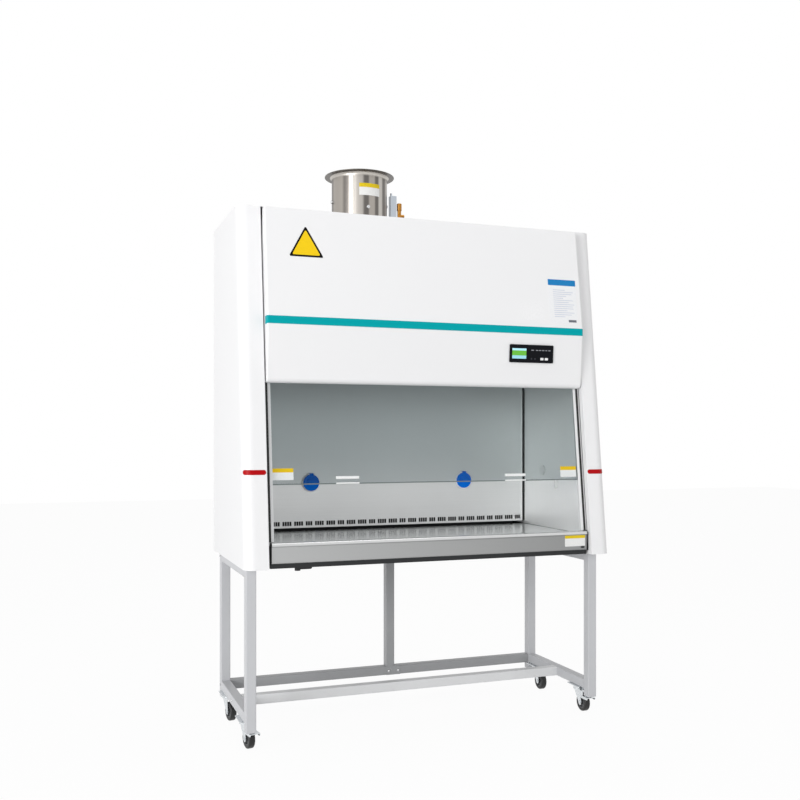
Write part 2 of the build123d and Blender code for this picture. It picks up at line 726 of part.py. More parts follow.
# Front hood: one folded shell with the moving knuckles of its hinges
with BuildPart() as hood:
    add(hood_block(0))
    add(hood_block(SHEET), mode=Mode.SUBTRACT)
    for hinge_x in HINGE_PLACES:
        with BuildSketch(Plane.YZ.offset(hinge_x - HINGE_LENGTH / 2)):
            with Locations((HINGE_Y, HINGE_Z)):
                Circle(HINGE_RADIUS)
            with Locations(((HINGE_Y + HOOD_BACK_Y - HINGE_LEAF) / 2, HOOD_TOP_Z - SHEET / 2)):
                Rectangle(HINGE_Y - HOOD_BACK_Y + HINGE_LEAF, SHEET)
            with Locations((HINGE_Y, HINGE_Z)):
                Circle(HINGE_PIN + RUNNING_FIT, mode=Mode.SUBTRACT)
        extrude(amount=HINGE_LENGTH / 2 - SIDE_PLAY)
save(hood.part, "front_hood")

# Teal stripe that wraps the knee of the hood
with BuildPart() as stripe:
    with BuildSketch(Plane.XY.offset(KNEE_Z)) as band:
        with Locations((0, KNEE_Y - STRIPE_THICK + (STRIPE_WRAP + STRIPE_THICK) / 2)):
            Rectangle(2 * (HOOD_HALF + STRIPE_THICK), STRIPE_WRAP + STRIPE_THICK)
        fillet(band.vertices().group_by(Axis.Y)[0], HOOD_CORNER + STRIPE_THICK)
    extrude(amount=STRIPE_HEIGHT)
    with BuildSketch(Plane.XY.offset(KNEE_Z)) as core:
        with Locations((0, KNEE_Y + STRIPE_WRAP)):
            Rectangle(2 * HOOD_HALF, 2 * STRIPE_WRAP)
        fillet(core.vertices().group_by(Axis.Y)[0], HOOD_CORNER)
    extrude(amount=STRIPE_HEIGHT, mode=Mode.SUBTRACT)
save(stripe.part, "teal_stripe")

# Control panel on the lower face of the hood, which leans back towards its foot
FACE_TILT = atan2(HOOD_FOOT_Y - KNEE_Y, KNEE_Z - HOOD_FOOT_Z)
PANEL = Plane(origin=(0, HOOD_FOOT_Y, HOOD_FOOT_Z), x_dir=(1, 0, 0),
              z_dir=(0, -cos(FACE_TILT), -sin(FACE_TILT)))
BEZEL_V = (BEZEL_Z - HOOD_FOOT_Z) / cos(FACE_TILT)
DISPLAY_U = BEZEL_X - BEZEL_WIDTH / 2 + DISPLAY_FROM_LEFT
KEY_V = BEZEL_V - KEY_DROP
POWER_KEY_X = BEZEL_X + POWER_KEY_FROM_MIDDLE
FAN_KEY_X = BEZEL_X + FAN_KEY_FROM_MIDDLE
with BuildPart() as bezel:
    with BuildSketch(PANEL):
        with Locations((BEZEL_X, BEZEL_V)):
            RectangleRounded(BEZEL_WIDTH, BEZEL_HEIGHT, BEZEL_CORNER)
    extrude(amount=BEZEL_THICK)
    with BuildSketch(PANEL.offset(BEZEL_THICK)):
        with Locations((DISPLAY_U, BEZEL_V)):
            Rectangle(DISPLAY_WIDTH, DISPLAY_HEIGHT)
    extrude(amount=-DISPLAY_THICK, mode=Mode.SUBTRACT)
    with BuildSketch(PANEL.offset(BEZEL_THICK)):
        with Locations((POWER_KEY_X, KEY_V), (FAN_KEY_X, KEY_V)):
            Rectangle(KEY_WIDTH + 2 * KEY_GAP, KEY_HEIGHT + 2 * KEY_GAP)
    extrude(amount=KEY_PROUD - KEY_THICK - KEY_TRAVEL, mode=Mode.SUBTRACT)
save(bezel.part, "control_bezel")

with BuildPart() as display:
    with BuildSketch(PANEL.offset(BEZEL_THICK - DISPLAY_THICK)):
        with Locations((DISPLAY_U, BEZEL_V)):
            Rectangle(DISPLAY_WIDTH, DISPLAY_HEIGHT)
    extrude(amount=DISPLAY_THICK - DISPLAY_SUNK)
save(display.part, "display_window")

for key_name, key_x in (("power_key", POWER_KEY_X), ("fan_key", FAN_KEY_X)):
    with BuildPart() as key:
        with BuildSketch(PANEL.offset(BEZEL_THICK + KEY_PROUD)):
            with Locations((key_x, KEY_V)):
                RectangleRounded(KEY_WIDTH, KEY_HEIGHT, KEY_CORNER)
        extrude(amount=-KEY_THICK)
    save(key.part, key_name)

# Base pan under the worktop, with the ledges that carry it and the drain hole
PAN_FRONT_Y = APRON_FACE_Y + APRON_FOOT_ROUND
PAN_HALF = CHAMBER_HALF + SHEET
PAN_RIM_Z = WORKTOP_Z + 2 * PANEL_GAP
LEDGE_Z = WORKTOP_Z - TRAY_RIM
with BuildPart() as pan:
    add(box_between((-PAN_HALF, PAN_FRONT_Y, BASE_Z), (PAN_HALF, REAR_Y - SHEET, PAN_RIM_Z)))
    add(box_between((-CHAMBER_HALF, PAN_FRONT_Y + SHEET, BASE_Z + SHEET),
                    (CHAMBER_HALF, REAR_Y - 2 * SHEET, PAN_RIM_Z)), mode=Mode.SUBTRACT)
    for side in (-1, 1):
        inner = side * (CHAMBER_HALF - LEDGE_WIDTH)
        add(box_between((min(inner, side * CHAMBER_HALF), TRAY_FRONT, LEDGE_Z - LEDGE_THICK),
                        (max(inner, side * CHAMBER_HALF), CHAMBER_BACK, LEDGE_Z)))
    with BuildSketch(Plane.XY.offset(BASE_Z)):
        with Locations((DRAIN_X, DRAIN_Y)):
            Circle(DRAIN_BORE)
    extrude(amount=SHEET, mode=Mode.SUBTRACT)
save(pan.part, "base_pan")

# Front apron: foot lip, face, rolled arm rest and the air intake grille behind it
GRILLE_BACK_Y = TRAY_FRONT - TRAY_GAP / 2
with BuildPart() as apron:
    with BuildSketch(Plane.YZ) as section:
        with BuildLine():
            roll_y = APRON_FACE_Y - LIP_PROUD
            inner_y = APRON_FACE_Y + SHEET
            foot = RadiusArc((APRON_FACE_Y + APRON_FOOT_ROUND, APRON_FOOT_Z),
                             (APRON_FACE_Y, APRON_FOOT_Z + APRON_FOOT_ROUND), APRON_FOOT_ROUND)
            face = Polyline(foot @ 1, (APRON_FACE_Y, LIP_Z - LIP_BAND - LIP_PROUD), (roll_y, LIP_Z - LIP_BAND),
                            (roll_y, LIP_Z - LIP_ROLL))
            roll = RadiusArc(face @ 1, (roll_y + LIP_ROLL, LIP_Z), LIP_ROLL)
            rest = Polyline(roll @ 1, (REST_BACK_Y, LIP_Z), (REST_BACK_Y, PAN_RIM_Z + SHEET),
                            (GRILLE_BACK_Y, PAN_RIM_Z + SHEET), (GRILLE_BACK_Y, PAN_RIM_Z),
                            (REST_BACK_Y - SHEET, PAN_RIM_Z), (REST_BACK_Y - SHEET, LIP_Z - SHEET),
                            (roll_y + LIP_ROLL, LIP_Z - SHEET))
            inner_roll = RadiusArc(rest @ 1, (roll_y + SHEET, LIP_Z - LIP_ROLL), SHEET - LIP_ROLL)
            inner_face = Polyline(inner_roll @ 1, (roll_y + SHEET, LIP_Z - LIP_BAND + SHEET / 2),
                                  (inner_y, LIP_Z - LIP_BAND - LIP_PROUD + SHEET / 2),
                                  (inner_y, APRON_FOOT_Z + APRON_FOOT_ROUND))
            inner_foot = RadiusArc(inner_face @ 1, (APRON_FACE_Y + APRON_FOOT_ROUND, APRON_FOOT_Z + SHEET),
                                   SHEET - APRON_FOOT_ROUND)
            Line(inner_foot @ 1, foot @ 0)
        make_face()
    extrude(amount=APRON_HALF, both=True)
    with BuildSketch(Plane.XY.offset(PAN_RIM_Z)):
        with Locations((0, (REST_BACK_Y + GRILLE_BACK_Y) / 2)):
            with GridLocations(GRILLE_PITCH, 1, int(2 * (APRON_HALF - GRILLE_MARGIN) / GRILLE_PITCH) + 1, 1):
                SlotOverall(GRILLE_SLOT, GRILLE_SLOT_WIDTH)
    extrude(amount=SHEET, mode=Mode.SUBTRACT)
save(apron.part, "front_apron")

# Worktop: a folded tray that lifts out
TRAY_HALF = CHAMBER_HALF - TRAY_GAP
TRAY_BACK = CHAMBER_BACK - TRAY_GAP
with BuildPart() as worktop:
    add(box_between((-TRAY_HALF, TRAY_FRONT, LEDGE_Z), (TRAY_HALF, TRAY_BACK, WORKTOP_Z)))
    fillet(worktop.edges().filter_by(Axis.Z), TRAY_CORNER)
    add(box_between((-TRAY_HALF + SHEET, TRAY_FRONT + SHEET, LEDGE_Z),
                    (TRAY_HALF - SHEET, TRAY_BACK - SHEET, WORKTOP_Z - SHEET)), mode=Mode.SUBTRACT)
save(worktop.part, "worktop")

# Rear wall with groups of slots along its foot
WALL_HALF = CHAMBER_HALF - CORNER_SEAL
slot_cells = int(2 * (WALL_HALF - SLOT_MARGIN) / SLOT_PITCH) + 1
slot_places = [((cell - (slot_cells - 1) / 2) * SLOT_PITCH, WALL_FOOT_Z + SLOT_RISE)
               for cell in range(slot_cells) if cell % SLOT_PERIOD not in SLOT_BLANKS]
with BuildPart() as rear_wall:
    add(box_between((-WALL_HALF, CHAMBER_BACK, WALL_FOOT_Z), (WALL_HALF, CHAMBER_BACK + SHEET, CEILING_Z)))
    with BuildSketch(facing(CHAMBER_BACK)):
        with Locations(*slot_places):
            Rectangle(SLOT_WIDTH, SLOT_HEIGHT)
    extrude(amount=-SHEET, mode=Mode.SUBTRACT)
save(rear_wall.part, "slotted_rear_wall")

# Side walls of the chamber, which run back to the rear cover and close the air duct there
CHAMBER_DEPTH = GUIDE_DEPTH + GUIDE_THICK
with BuildPart() as side_wall:
    with BuildSketch(Plane.YZ.offset(CHAMBER_HALF)):
        with BuildLine():
            Polyline((front_y(PAN_RIM_Z, CHAMBER_DEPTH), PAN_RIM_Z), (REAR_Y - SHEET, PAN_RIM_Z),
                     (REAR_Y - SHEET, CEILING_Z), (front_y(CEILING_Z, CHAMBER_DEPTH), CEILING_Z), close=True)
        make_face()
    extrude(amount=SHEET)
save([side_wall.part, mirrored(side_wall.part)], "inner_side_walls")

# Sash guides: slotted channels beside the opening, then open runners up behind the hood
GUIDE_OUTER_X = COVER_INNER_X - GUIDE_GAP
GUIDE_INNER_X = CHAMBER_HALF - GUIDE_LIP
GUIDE_FOOT = slope_at(LIP_Z, CHAMBER_DEPTH)
GLASS_TOP = GLASS_FOOT + GLASS_HEIGHT
RUNNER_DEPTH = GLASS_DEPTH + GLASS_THICK + RUNNER_GAP
PULLEY_S = BODY_HEIGHT / cos(LEAN) - PULLEY_DROP
pulley_centre = on_front(ROPE_X, PULLEY_S, GLASS_DEPTH + GLASS_THICK / 2 + PULLEY_RADIUS)


def front_box(x0, x1, s0, s1, depth, thick):
    """Block between x0 and x1, s0 and s1 up the slope, that starts depth behind the leaning front."""
    with BuildPart() as block:
        with BuildSketch(FRONT.offset(-depth)):
            with Locations(((x0 + x1) / 2, (s0 + s1) / 2)):
                Rectangle(x1 - x0, s1 - s0)
        extrude(amount=-thick)
    return block.part


with BuildPart() as guide:
    add(front_box(GUIDE_INNER_X, GUIDE_OUTER_X, GUIDE_FOOT, GUIDE_OPEN_FROM, GUIDE_DEPTH, GUIDE_THICK))
    add(front_box(GUIDE_INNER_X, GLASS_HALF + GLASS_PLAY, GUIDE_FOOT, GUIDE_OPEN_FROM,
                  GLASS_DEPTH - GLASS_PLAY, GLASS_THICK + 2 * GLASS_PLAY), mode=Mode.SUBTRACT)
    add(front_box(GUIDE_INNER_X, GUIDE_OUTER_X, GUIDE_OPEN_FROM, GUIDE_TOP, RUNNER_DEPTH,
                  CHAMBER_DEPTH - RUNNER_DEPTH))
bracket_x = ROPE_X + PULLEY_WIDTH
plate_half = PULLEY_PLATE / 2
pulley_bracket = box_between((bracket_x, pulley_centre.Y - plate_half, pulley_centre.Z - plate_half),
                             (bracket_x + SHEET, pulley_centre.Y + plate_half, TOP_Z - SHEET))
with BuildPart() as pulley_stud:
    add(pulley_bracket)
    with BuildSketch(Plane.YZ.offset(bracket_x)):
        with Locations((pulley_centre.Y, pulley_centre.Z)):
            Circle(AXLE_RADIUS)
    extrude(amount=-1.5 * PULLEY_WIDTH)
save([guide.part, mirrored(guide.part), pulley_stud.part, mirrored(pulley_stud.part)], "sash_guides")

# Black seals: strips beside the glass and strips in the rear corners of the chamber
SEAL_HIGH_Z = LAMP_Z - LAMP_RADIUS - 2 * HOLDER_RIM
SASH_SEAL_X = GUIDE_INNER_X + SASH_SEAL_INSET
with BuildPart() as sash_seal:
    add(front_box(SASH_SEAL_X, SASH_SEAL_X + SASH_SEAL_WIDTH, GUIDE_FOOT, slope_at(SEAL_HIGH_Z),
                  GUIDE_DEPTH - SASH_SEAL_THICK, SASH_SEAL_THICK))
corner_seal = box_between((WALL_HALF, CHAMBER_BACK - SHEET, WALL_FOOT_Z),
                          (CHAMBER_HALF, CHAMBER_BACK + SHEET, CEILING_Z))
save([sash_seal.part, mirrored(sash_seal.part), corner_seal, mirrored(corner_seal)], "black_seals")

# Sash: glass, clear lower edge trim, handles, and the carriers on its top corners
with BuildPart() as glass:
    add(front_box(-GLASS_HALF, GLASS_HALF, GLASS_FOOT, GLASS_TOP, GLASS_DEPTH, GLASS_THICK))
save(glass.part, "sash_glass")
TRIM_HALF = GUIDE_INNER_X - GUIDE_GAP
save(front_box(-TRIM_HALF, TRIM_HALF, GLASS_FOOT - TRIM_HEIGHT, GLASS_FOOT, GLASS_DEPTH, GLASS_THICK),
     "sash_edge_trim")


def handle_bars(x):
    """Two bars on the front of the glass that make one finger grip: a thick one over a thin one."""
    left = x - HANDLE_WIDTH / 2
    right = x + HANDLE_WIDTH / 2
    top = GLASS_FOOT + HANDLE_TOP
    front = GLASS_DEPTH - HANDLE_PROUD
    bars = []
    for low, high, roundness in ((top - HANDLE_BAR, top, HANDLE_ROUND),
                                 (GLASS_FOOT - TRIM_HEIGHT, GLASS_FOOT - TRIM_HEIGHT + HANDLE_LIP, 1.0)):
        with BuildPart() as bar:
            add(front_box(left, right, low, high, front, HANDLE_PROUD))
            outer = bar.faces().sort_by(Axis((0, 0, 0), FRONT.z_dir))[-1]
            fillet(outer.edges(), roundness)
        bars.append(bar.part)
    return bars


save(handle_bars(-HANDLE_X) + handle_bars(HANDLE_X), "sash_handles")

CARRIER_FRONT = RUNNER_DEPTH - PANEL_GAP - CARRIER_THICK
CARRIER_TOP = GLASS_TOP + CARRIER_RISE
CARRIER_INNER_X = GLASS_HALF - CARRIER_GRIP
CARRIER_OUTER_X = ROPE_X + CARRIER_REACH
with BuildPart() as carrier:
    add(front_box(CARRIER_INNER_X, CARRIER_OUTER_X, CARRIER_TOP - CARRIER_HEIGHT, CARRIER_TOP,
                  CARRIER_FRONT, CARRIER_THICK))
    add(front_box(CARRIER_INNER_X, GLASS_HALF, CARRIER_TOP - CARRIER_HEIGHT, GLASS_TOP, GLASS_DEPTH,
                  GLASS_THICK), mode=Mode.SUBTRACT)
save([carrier.part, mirrored(carrier.part)], "sash_carriers")

# Pulleys, cables and counterweights
with BuildPart() as pulley:
    with BuildSketch(Plane.YZ.offset(ROPE_X)):
        with Locations((pulley_centre.Y, pulley_centre.Z)):
            Circle(PULLEY_RADIUS + PULLEY_RIM)
    extrude(amount=PULLEY_WIDTH / 2, both=True)
    with BuildSketch(Plane.YZ.offset(ROPE_X)):
        with Locations((pulley_centre.Y, pulley_centre.Z)):
            Circle(PULLEY_RADIUS + PULLEY_RIM)
            Circle(PULLEY_RADIUS - ROPE_RADIUS - RUNNING_FIT, mode=Mode.SUBTRACT)
    extrude(amount=ROPE_RADIUS + PANEL_GAP, both=True, mode=Mode.SUBTRACT)
    with BuildSketch(Plane.YZ.offset(ROPE_X)):
        with Locations((pulley_centre.Y, pulley_centre.Z)):
            Circle(AXLE_RADIUS + RUNNING_FIT)
    extrude(amount=PULLEY_WIDTH, both=True, mode=Mode.SUBTRACT)
save([pulley.part, mirrored(pulley.part)], "sash_pulleys")

rope_depth = GLASS_DEPTH + GLASS_THICK / 2
rope_start = on_front(ROPE_X, CARRIER_TOP, rope_depth)
rope_on = on_front(ROPE_X, PULLEY_S, rope_depth)
rope_over = pulley_centre + Vector(0, 0, PULLEY_RADIUS)
rope_off = pulley_centre + Vector(0, PULLEY_RADIUS, 0)
rope_end = Vector(ROPE_X, rope_off.Y, WEIGHT_TOP_Z)
with BuildPart() as cable:
    with BuildLine() as rope_path:
        Line(rope_start, rope_on)
        ThreePointArc(rope_on, rope_over, rope_off)
        Line(rope_off, rope_end)
    with BuildSketch(Plane(origin=rope_start, x_dir=(1, 0, 0), z_dir=rope_on - rope_start)):
        Circle(ROPE_RADIUS)
    sweep(path=rope_path.wires()[0])
save([cable.part, mirrored(cable.part)], "sash_cables")

weight = box_between((ROPE_X - WEIGHT_WIDTH / 2, rope_end.Y - WEIGHT_DEPTH / 2, WEIGHT_TOP_Z - WEIGHT_HEIGHT),
                     (ROPE_X + WEIGHT_WIDTH / 2, rope_end.Y + WEIGHT_DEPTH / 2, WEIGHT_TOP_Z))
save([weight, mirrored(weight)], "counterweights")

# Ceiling: slotted diffuser, supply filter and the air box over it
FILTER_Z = CEILING_Z + SHEET
DECK_Z = FILTER_Z + FILTER_HEIGHT + AIR_BOX_HEIGHT
with BuildPart() as diffuser:
    add(box_between((-PAN_HALF, front_y(CEILING_Z, FILTER_DEPTH), CEILING_Z), (PAN_HALF, CHAMBER_BACK, FILTER_Z)))
    with BuildSketch(Plane.XY.offset(CEILING_Z)):
        with GridLocations(*DIFFUSER_PITCH, *DIFFUSER_COUNT):
            SlotOverall(DIFFUSER_SLOT, DIFFUSER_SLOT_WIDTH)
    extrude(amount=SHEET, mode=Mode.SUBTRACT)
save(diffuser.part, "supply_diffuser")


def lean_front_block(inset, low, high, back):
    """Block across the cabinet whose front follows the sash, with an inset on every side."""
    with BuildPart() as block:
        with BuildSketch(Plane.YZ):
            with BuildLine():
                Polyline((front_y(low, FILTER_DEPTH + inset), low), (back - inset, low), (back - inset, high),
                         (front_y(high, FILTER_DEPTH + inset), high), close=True)
            make_face()
        extrude(amount=FILTER_HALF - inset, both=True)
    return block.part


save(lean_front_block(0, FILTER_Z, FILTER_Z + FILTER_HEIGHT, FILTER_BACK), "supply_filter")
FILTER_TOP = FILTER_Z + FILTER_HEIGHT
OUTLET_WIDTH = BLOWER_WIDTH - 4 * SHEET
with BuildPart() as air_box:
    add(lean_front_block(0, FILTER_TOP, DECK_Z, FILTER_BACK))
    add(lean_front_block(SHEET, FILTER_TOP, DECK_Z - SHEET, FILTER_BACK), mode=Mode.SUBTRACT)
    with BuildSketch(Plane.XY.offset(DECK_Z - SHEET)):
        with Locations((BLOWER_X, BLOWER_Y)):
            Rectangle(OUTLET_WIDTH, OUTLET_WIDTH)
    extrude(amount=SHEET, mode=Mode.SUBTRACT)
save(air_box.part, "air_box")

# Blower: round housing on an outlet duct, wheel, and motor on a bracket at its right side
BLOWER_Z = DECK_Z + BLOWER_FOOT + BLOWER_RADIUS
with BuildPart() as housing:
    with BuildSketch(Plane.YZ.offset(BLOWER_X)):
        with Locations((BLOWER_Y, BLOWER_Z)):
            Circle(BLOWER_RADIUS)
        with Locations((BLOWER_Y, (DECK_Z + BLOWER_Z) / 2)):
            Rectangle(BLOWER_WIDTH, BLOWER_Z - DECK_Z)
    extrude(amount=BLOWER_WIDTH / 2, both=True)
    with BuildSketch(Plane.YZ.offset(BLOWER_X)):
        with Locations((BLOWER_Y, BLOWER_Z)):
            Circle(BLOWER_RADIUS - SHEET)
        with Locations((BLOWER_Y, (DECK_Z + BLOWER_Z) / 2)):
            Rectangle(BLOWER_WIDTH - 2 * SHEET, BLOWER_Z - DECK_Z)
    extrude(amount=BLOWER_WIDTH / 2 - SHEET, both=True, mode=Mode.SUBTRACT)
    with BuildSketch(Plane.YZ.offset(BLOWER_X - BLOWER_WIDTH / 2)):
        with Locations((BLOWER_Y, BLOWER_Z)):
            Circle(BLOWER_EYE)
    extrude(amount=SHEET, mode=Mode.SUBTRACT)
    with BuildSketch(Plane.YZ.offset(BLOWER_X + BLOWER_WIDTH / 2)):
        with Locations((BLOWER_Y, BLOWER_Z)):
            Circle(SHAFT_RADIUS + SHAFT_HOLE_GAP)
    extrude(amount=-SHEET, mode=Mode.SUBTRACT)
save(housing.part, "blower_housing")

MOTOR_X = BLOWER_X + BLOWER_WIDTH / 2
with BuildPart() as motor:
    with BuildSketch(Plane.YZ.offset(MOTOR_X)):
        with Locations((BLOWER_Y, BLOWER_Z)):
            Circle(MOTOR_RADIUS)
            Circle(SHAFT_RADIUS + SHAFT_HOLE_GAP, mode=Mode.SUBTRACT)
    extrude(amount=MOTOR_LENGTH)
    with BuildSketch(Plane.YZ.offset(MOTOR_X + MOTOR_LENGTH)):
        with Locations((BLOWER_Y, BLOWER_Z)):
            Circle(MOTOR_RADIUS - MOTOR_CAP)
            Circle(SHAFT_RADIUS + RUNNING_FIT, mode=Mode.SUBTRACT)
    extrude(amount=MOTOR_CAP)
save(motor.part, "blower_motor")

WHEEL_BACK = BLOWER_X + BLOWER_WIDTH / 2 - WHEEL_CLEARANCE
with BuildPart() as blower_wheel:
    with BuildSketch(Plane.YZ.offset(WHEEL_BACK)):
        with Locations((BLOWER_Y, BLOWER_Z)):
            Circle(WHEEL_RADIUS)
    extrude(amount=-SHEET)
    with BuildSketch(Plane.YZ.offset(WHEEL_BACK)):
        with Locations((BLOWER_Y, BLOWER_Z)):
            with PolarLocations(WHEEL_RADIUS - BLADE_LENGTH / 2, BLADES):
                Rectangle(BLADE_LENGTH, SHEET)
    extrude(amount=-WHEEL_WIDTH)
    with BuildSketch(Plane.YZ.offset(WHEEL_BACK - WHEEL_WIDTH)):
        with Locations((BLOWER_Y, BLOWER_Z)):
            Circle(WHEEL_RADIUS)
            Circle(WHEEL_RADIUS - BLADE_LENGTH, mode=Mode.SUBTRACT)
    extrude(amount=SHEET)
    with BuildSketch(Plane.YZ.offset(WHEEL_BACK)):
        with Locations((BLOWER_Y, BLOWER_Z)):
            Circle(WHEEL_HUB)
    extrude(amount=-BLADE_LENGTH)
    with BuildSketch(Plane.YZ.offset(WHEEL_BACK)):
        with Locations((BLOWER_Y, BLOWER_Z)):
            Circle(SHAFT_RADIUS)
    extrude(amount=MOTOR_X + MOTOR_LENGTH + MOTOR_CAP - WHEEL_BACK)
save(blower_wheel.part, "blower_wheel")

# Exhaust filter under the collar and the control box on the deck
filter_x, filter_y, filter_z = EXHAUST_FILTER_SIZE
with BuildPart() as exhaust_filter:
    add(box_between((COLLAR_X - filter_x / 2, COLLAR_Y - filter_y / 2, TOP_Z - SHEET - filter_z),
                    (COLLAR_X + filter_x / 2, COLLAR_Y + filter_y / 2, TOP_Z - SHEET)))
    with BuildSketch(Plane.XY.offset(TOP_Z - SHEET)):
        with Locations((COLLAR_X, COLLAR_Y)):
            Circle(COLLAR_RADIUS - COLLAR_WALL)
    extrude(amount=-filter_z / 3, mode=Mode.SUBTRACT)
save(exhaust_filter.part, "exhaust_filter")
control_x, control_y, control_z = CONTROL_BOX_SIZE
save(box_between((CONTROL_BOX_X - control_x / 2, BLOWER_Y - control_y / 2, DECK_Z),
                 (CONTROL_BOX_X + control_x / 2, BLOWER_Y + control_y / 2, DECK_Z + control_z)), "control_box")

# Exhaust collar: base ring, tube and flared flange
inner_radius = COLLAR_RADIUS - COLLAR_WALL
flare_z = COLLAR_TOP_Z - COLLAR_WALL - COLLAR_FLARE
collar_base = COLLAR_RADIUS + COLLAR_FOOT_RING
collar_rim = COLLAR_RADIUS + COLLAR_FLANGE
with BuildPart() as collar:
    with BuildSketch(Plane(origin=(COLLAR_X, COLLAR_Y, 0), x_dir=(1, 0, 0), z_dir=(0, -1, 0))):
        with BuildLine():
            foot = Polyline((inner_radius, TOP_Z), (collar_base, TOP_Z), (collar_base, TOP_Z + COLLAR_WALL),
                            (COLLAR_RADIUS, TOP_Z + COLLAR_WALL), (COLLAR_RADIUS, flare_z))
            flare = RadiusArc(foot @ 1, (COLLAR_RADIUS + COLLAR_FLARE, flare_z + COLLAR_FLARE), COLLAR_FLARE)
            rim = Polyline(flare @ 1, (collar_rim, COLLAR_TOP_Z - COLLAR_WALL), (collar_rim, COLLAR_TOP_Z),
                           (COLLAR_RADIUS + COLLAR_FLARE, COLLAR_TOP_Z))
            inner_flare = RadiusArc(rim @ 1, (inner_radius, flare_z), -COLLAR_FLARE - COLLAR_WALL)
            Line(inner_flare @ 1, foot @ 0)
        make_face()
    revolve(axis=Axis((COLLAR_X, COLLAR_Y, 0), (0, 0, 1)))
save(collar.part, "exhaust_collar")

# Bracket beside the collar: a channel with a cap screw, and a brass fitting
with BuildPart() as bracket:
    with BuildSketch(Plane.XY.offset(TOP_Z)):
        with Locations((BRACKET_X, BRACKET_Y)):
            Rectangle(BRACKET_WIDTH, BRACKET_DEPTH)
        with Locations((BRACKET_X, BRACKET_Y + SHEET)):
            Rectangle(BRACKET_WIDTH - 2 * SHEET, BRACKET_DEPTH, mode=Mode.SUBTRACT)
    extrude(amount=BRACKET_HEIGHT)
    with BuildSketch(Plane.XY.offset(TOP_Z + BRACKET_HEIGHT - SHEET)):
        with Locations((BRACKET_X, BRACKET_Y)):
            Rectangle(BRACKET_WIDTH, BRACKET_DEPTH)
    extrude(amount=SHEET)
    with BuildSketch(Plane.XY.offset(TOP_Z + BRACKET_HEIGHT)):
        with Locations((BRACKET_X - BRACKET_WIDTH / 4, BRACKET_Y)):
            Circle(BRACKET_PIN)
    extrude(amount=BRACKET_PIN_LENGTH)
save(bracket.part, "duct_bracket")

fitting_foot = Plane.XY.offset(TOP_Z).move(Location((FITTING_X, BRACKET_Y, 0)))
with BuildPart() as fitting:
    with BuildSketch(fitting_foot):
        RegularPolygon(FITTING_HEX, 6)
    extrude(amount=FITTING_HEX_HEIGHT)
    with BuildSketch(fitting_foot.offset(FITTING_HEX_HEIGHT)):
        Circle(FITTING_NECK)
    extrude(amount=FITTING_HEIGHT - FITTING_HEX_HEIGHT - FITTING_CAP_HEIGHT)
    with BuildSketch(fitting_foot.offset(FITTING_HEIGHT - FITTING_CAP_HEIGHT)):
        Circle(FITTING_CAP)
    extrude(amount=FITTING_CAP_HEIGHT)
    fillet(fitting.edges().sort_by(Axis.Z)[-1], FITTING_CAP_ROUND)
    with BuildSketch(Plane.YZ.offset(FITTING_X)):
        with Locations((BRACKET_Y, TOP_Z + FITTING_ARM_RISE)):
            Circle(FITTING_ARM)
    extrude(amount=FITTING_ARM_LENGTH)
save(fitting.part, "duct_fitting")

# Work lamp in the hood's hollow, in front of the glass, and the ultraviolet lamp under the ceiling
LAMP_HALF = CHAMBER_HALF - LAMP_INSET
HOLDER_HALF = LAMP_RADIUS + HOLDER_RIM
with BuildPart() as lamp_holder:
    holder_low = LAMP_Z - HOLDER_HALF
    holder_high = LAMP_Z + HOLDER_HALF
    with BuildSketch(Plane.YZ.offset(LAMP_HALF)):
        with BuildLine():
            Polyline((LAMP_Y - HOLDER_HALF, holder_low), (front_y(holder_low, GUIDE_DEPTH), holder_low),
                     (front_y(holder_high, GUIDE_DEPTH), holder_high), (LAMP_Y - HOLDER_HALF, holder_high),
                     close=True)
        make_face()
    extrude(amount=LAMP_HOLDER + HOLDER_LAP)
lamp_tube = rod(Plane(origin=(-LAMP_HALF, LAMP_Y, LAMP_Z), x_dir=(0, 1, 0), z_dir=(1, 0, 0)), LAMP_RADIUS,
                2 * LAMP_HALF)
save([lamp_tube, lamp_holder.part, mirrored(lamp_holder.part)], "work_lamp")

UV_Y = CHAMBER_BACK - UV_FROM_WALL
uv_tube = rod(Plane(origin=(-UV_LENGTH / 2, UV_Y, LAMP_Z), x_dir=(0, 1, 0), z_dir=(1, 0, 0)), LAMP_RADIUS,
              UV_LENGTH)
uv_holder = box_between((UV_LENGTH / 2, UV_Y - HOLDER_HALF, LAMP_Z - HOLDER_HALF),
                        (UV_LENGTH / 2 + LAMP_HOLDER, CHAMBER_BACK, LAMP_Z + HOLDER_HALF))
save([uv_tube, uv_holder, mirrored(uv_holder)], "uv_lamp")

# Sockets: round bases on the rear wall and hinged lids
LID_BACK_Y = CHAMBER_BACK - SOCKET_BASE - PANEL_GAP / 2
LID_HINGE_Y = LID_BACK_Y - SOCKET_LID / 2
LID_HINGE_Z = SOCKET_Z + SOCKET_RADIUS + LID_HINGE_RISE


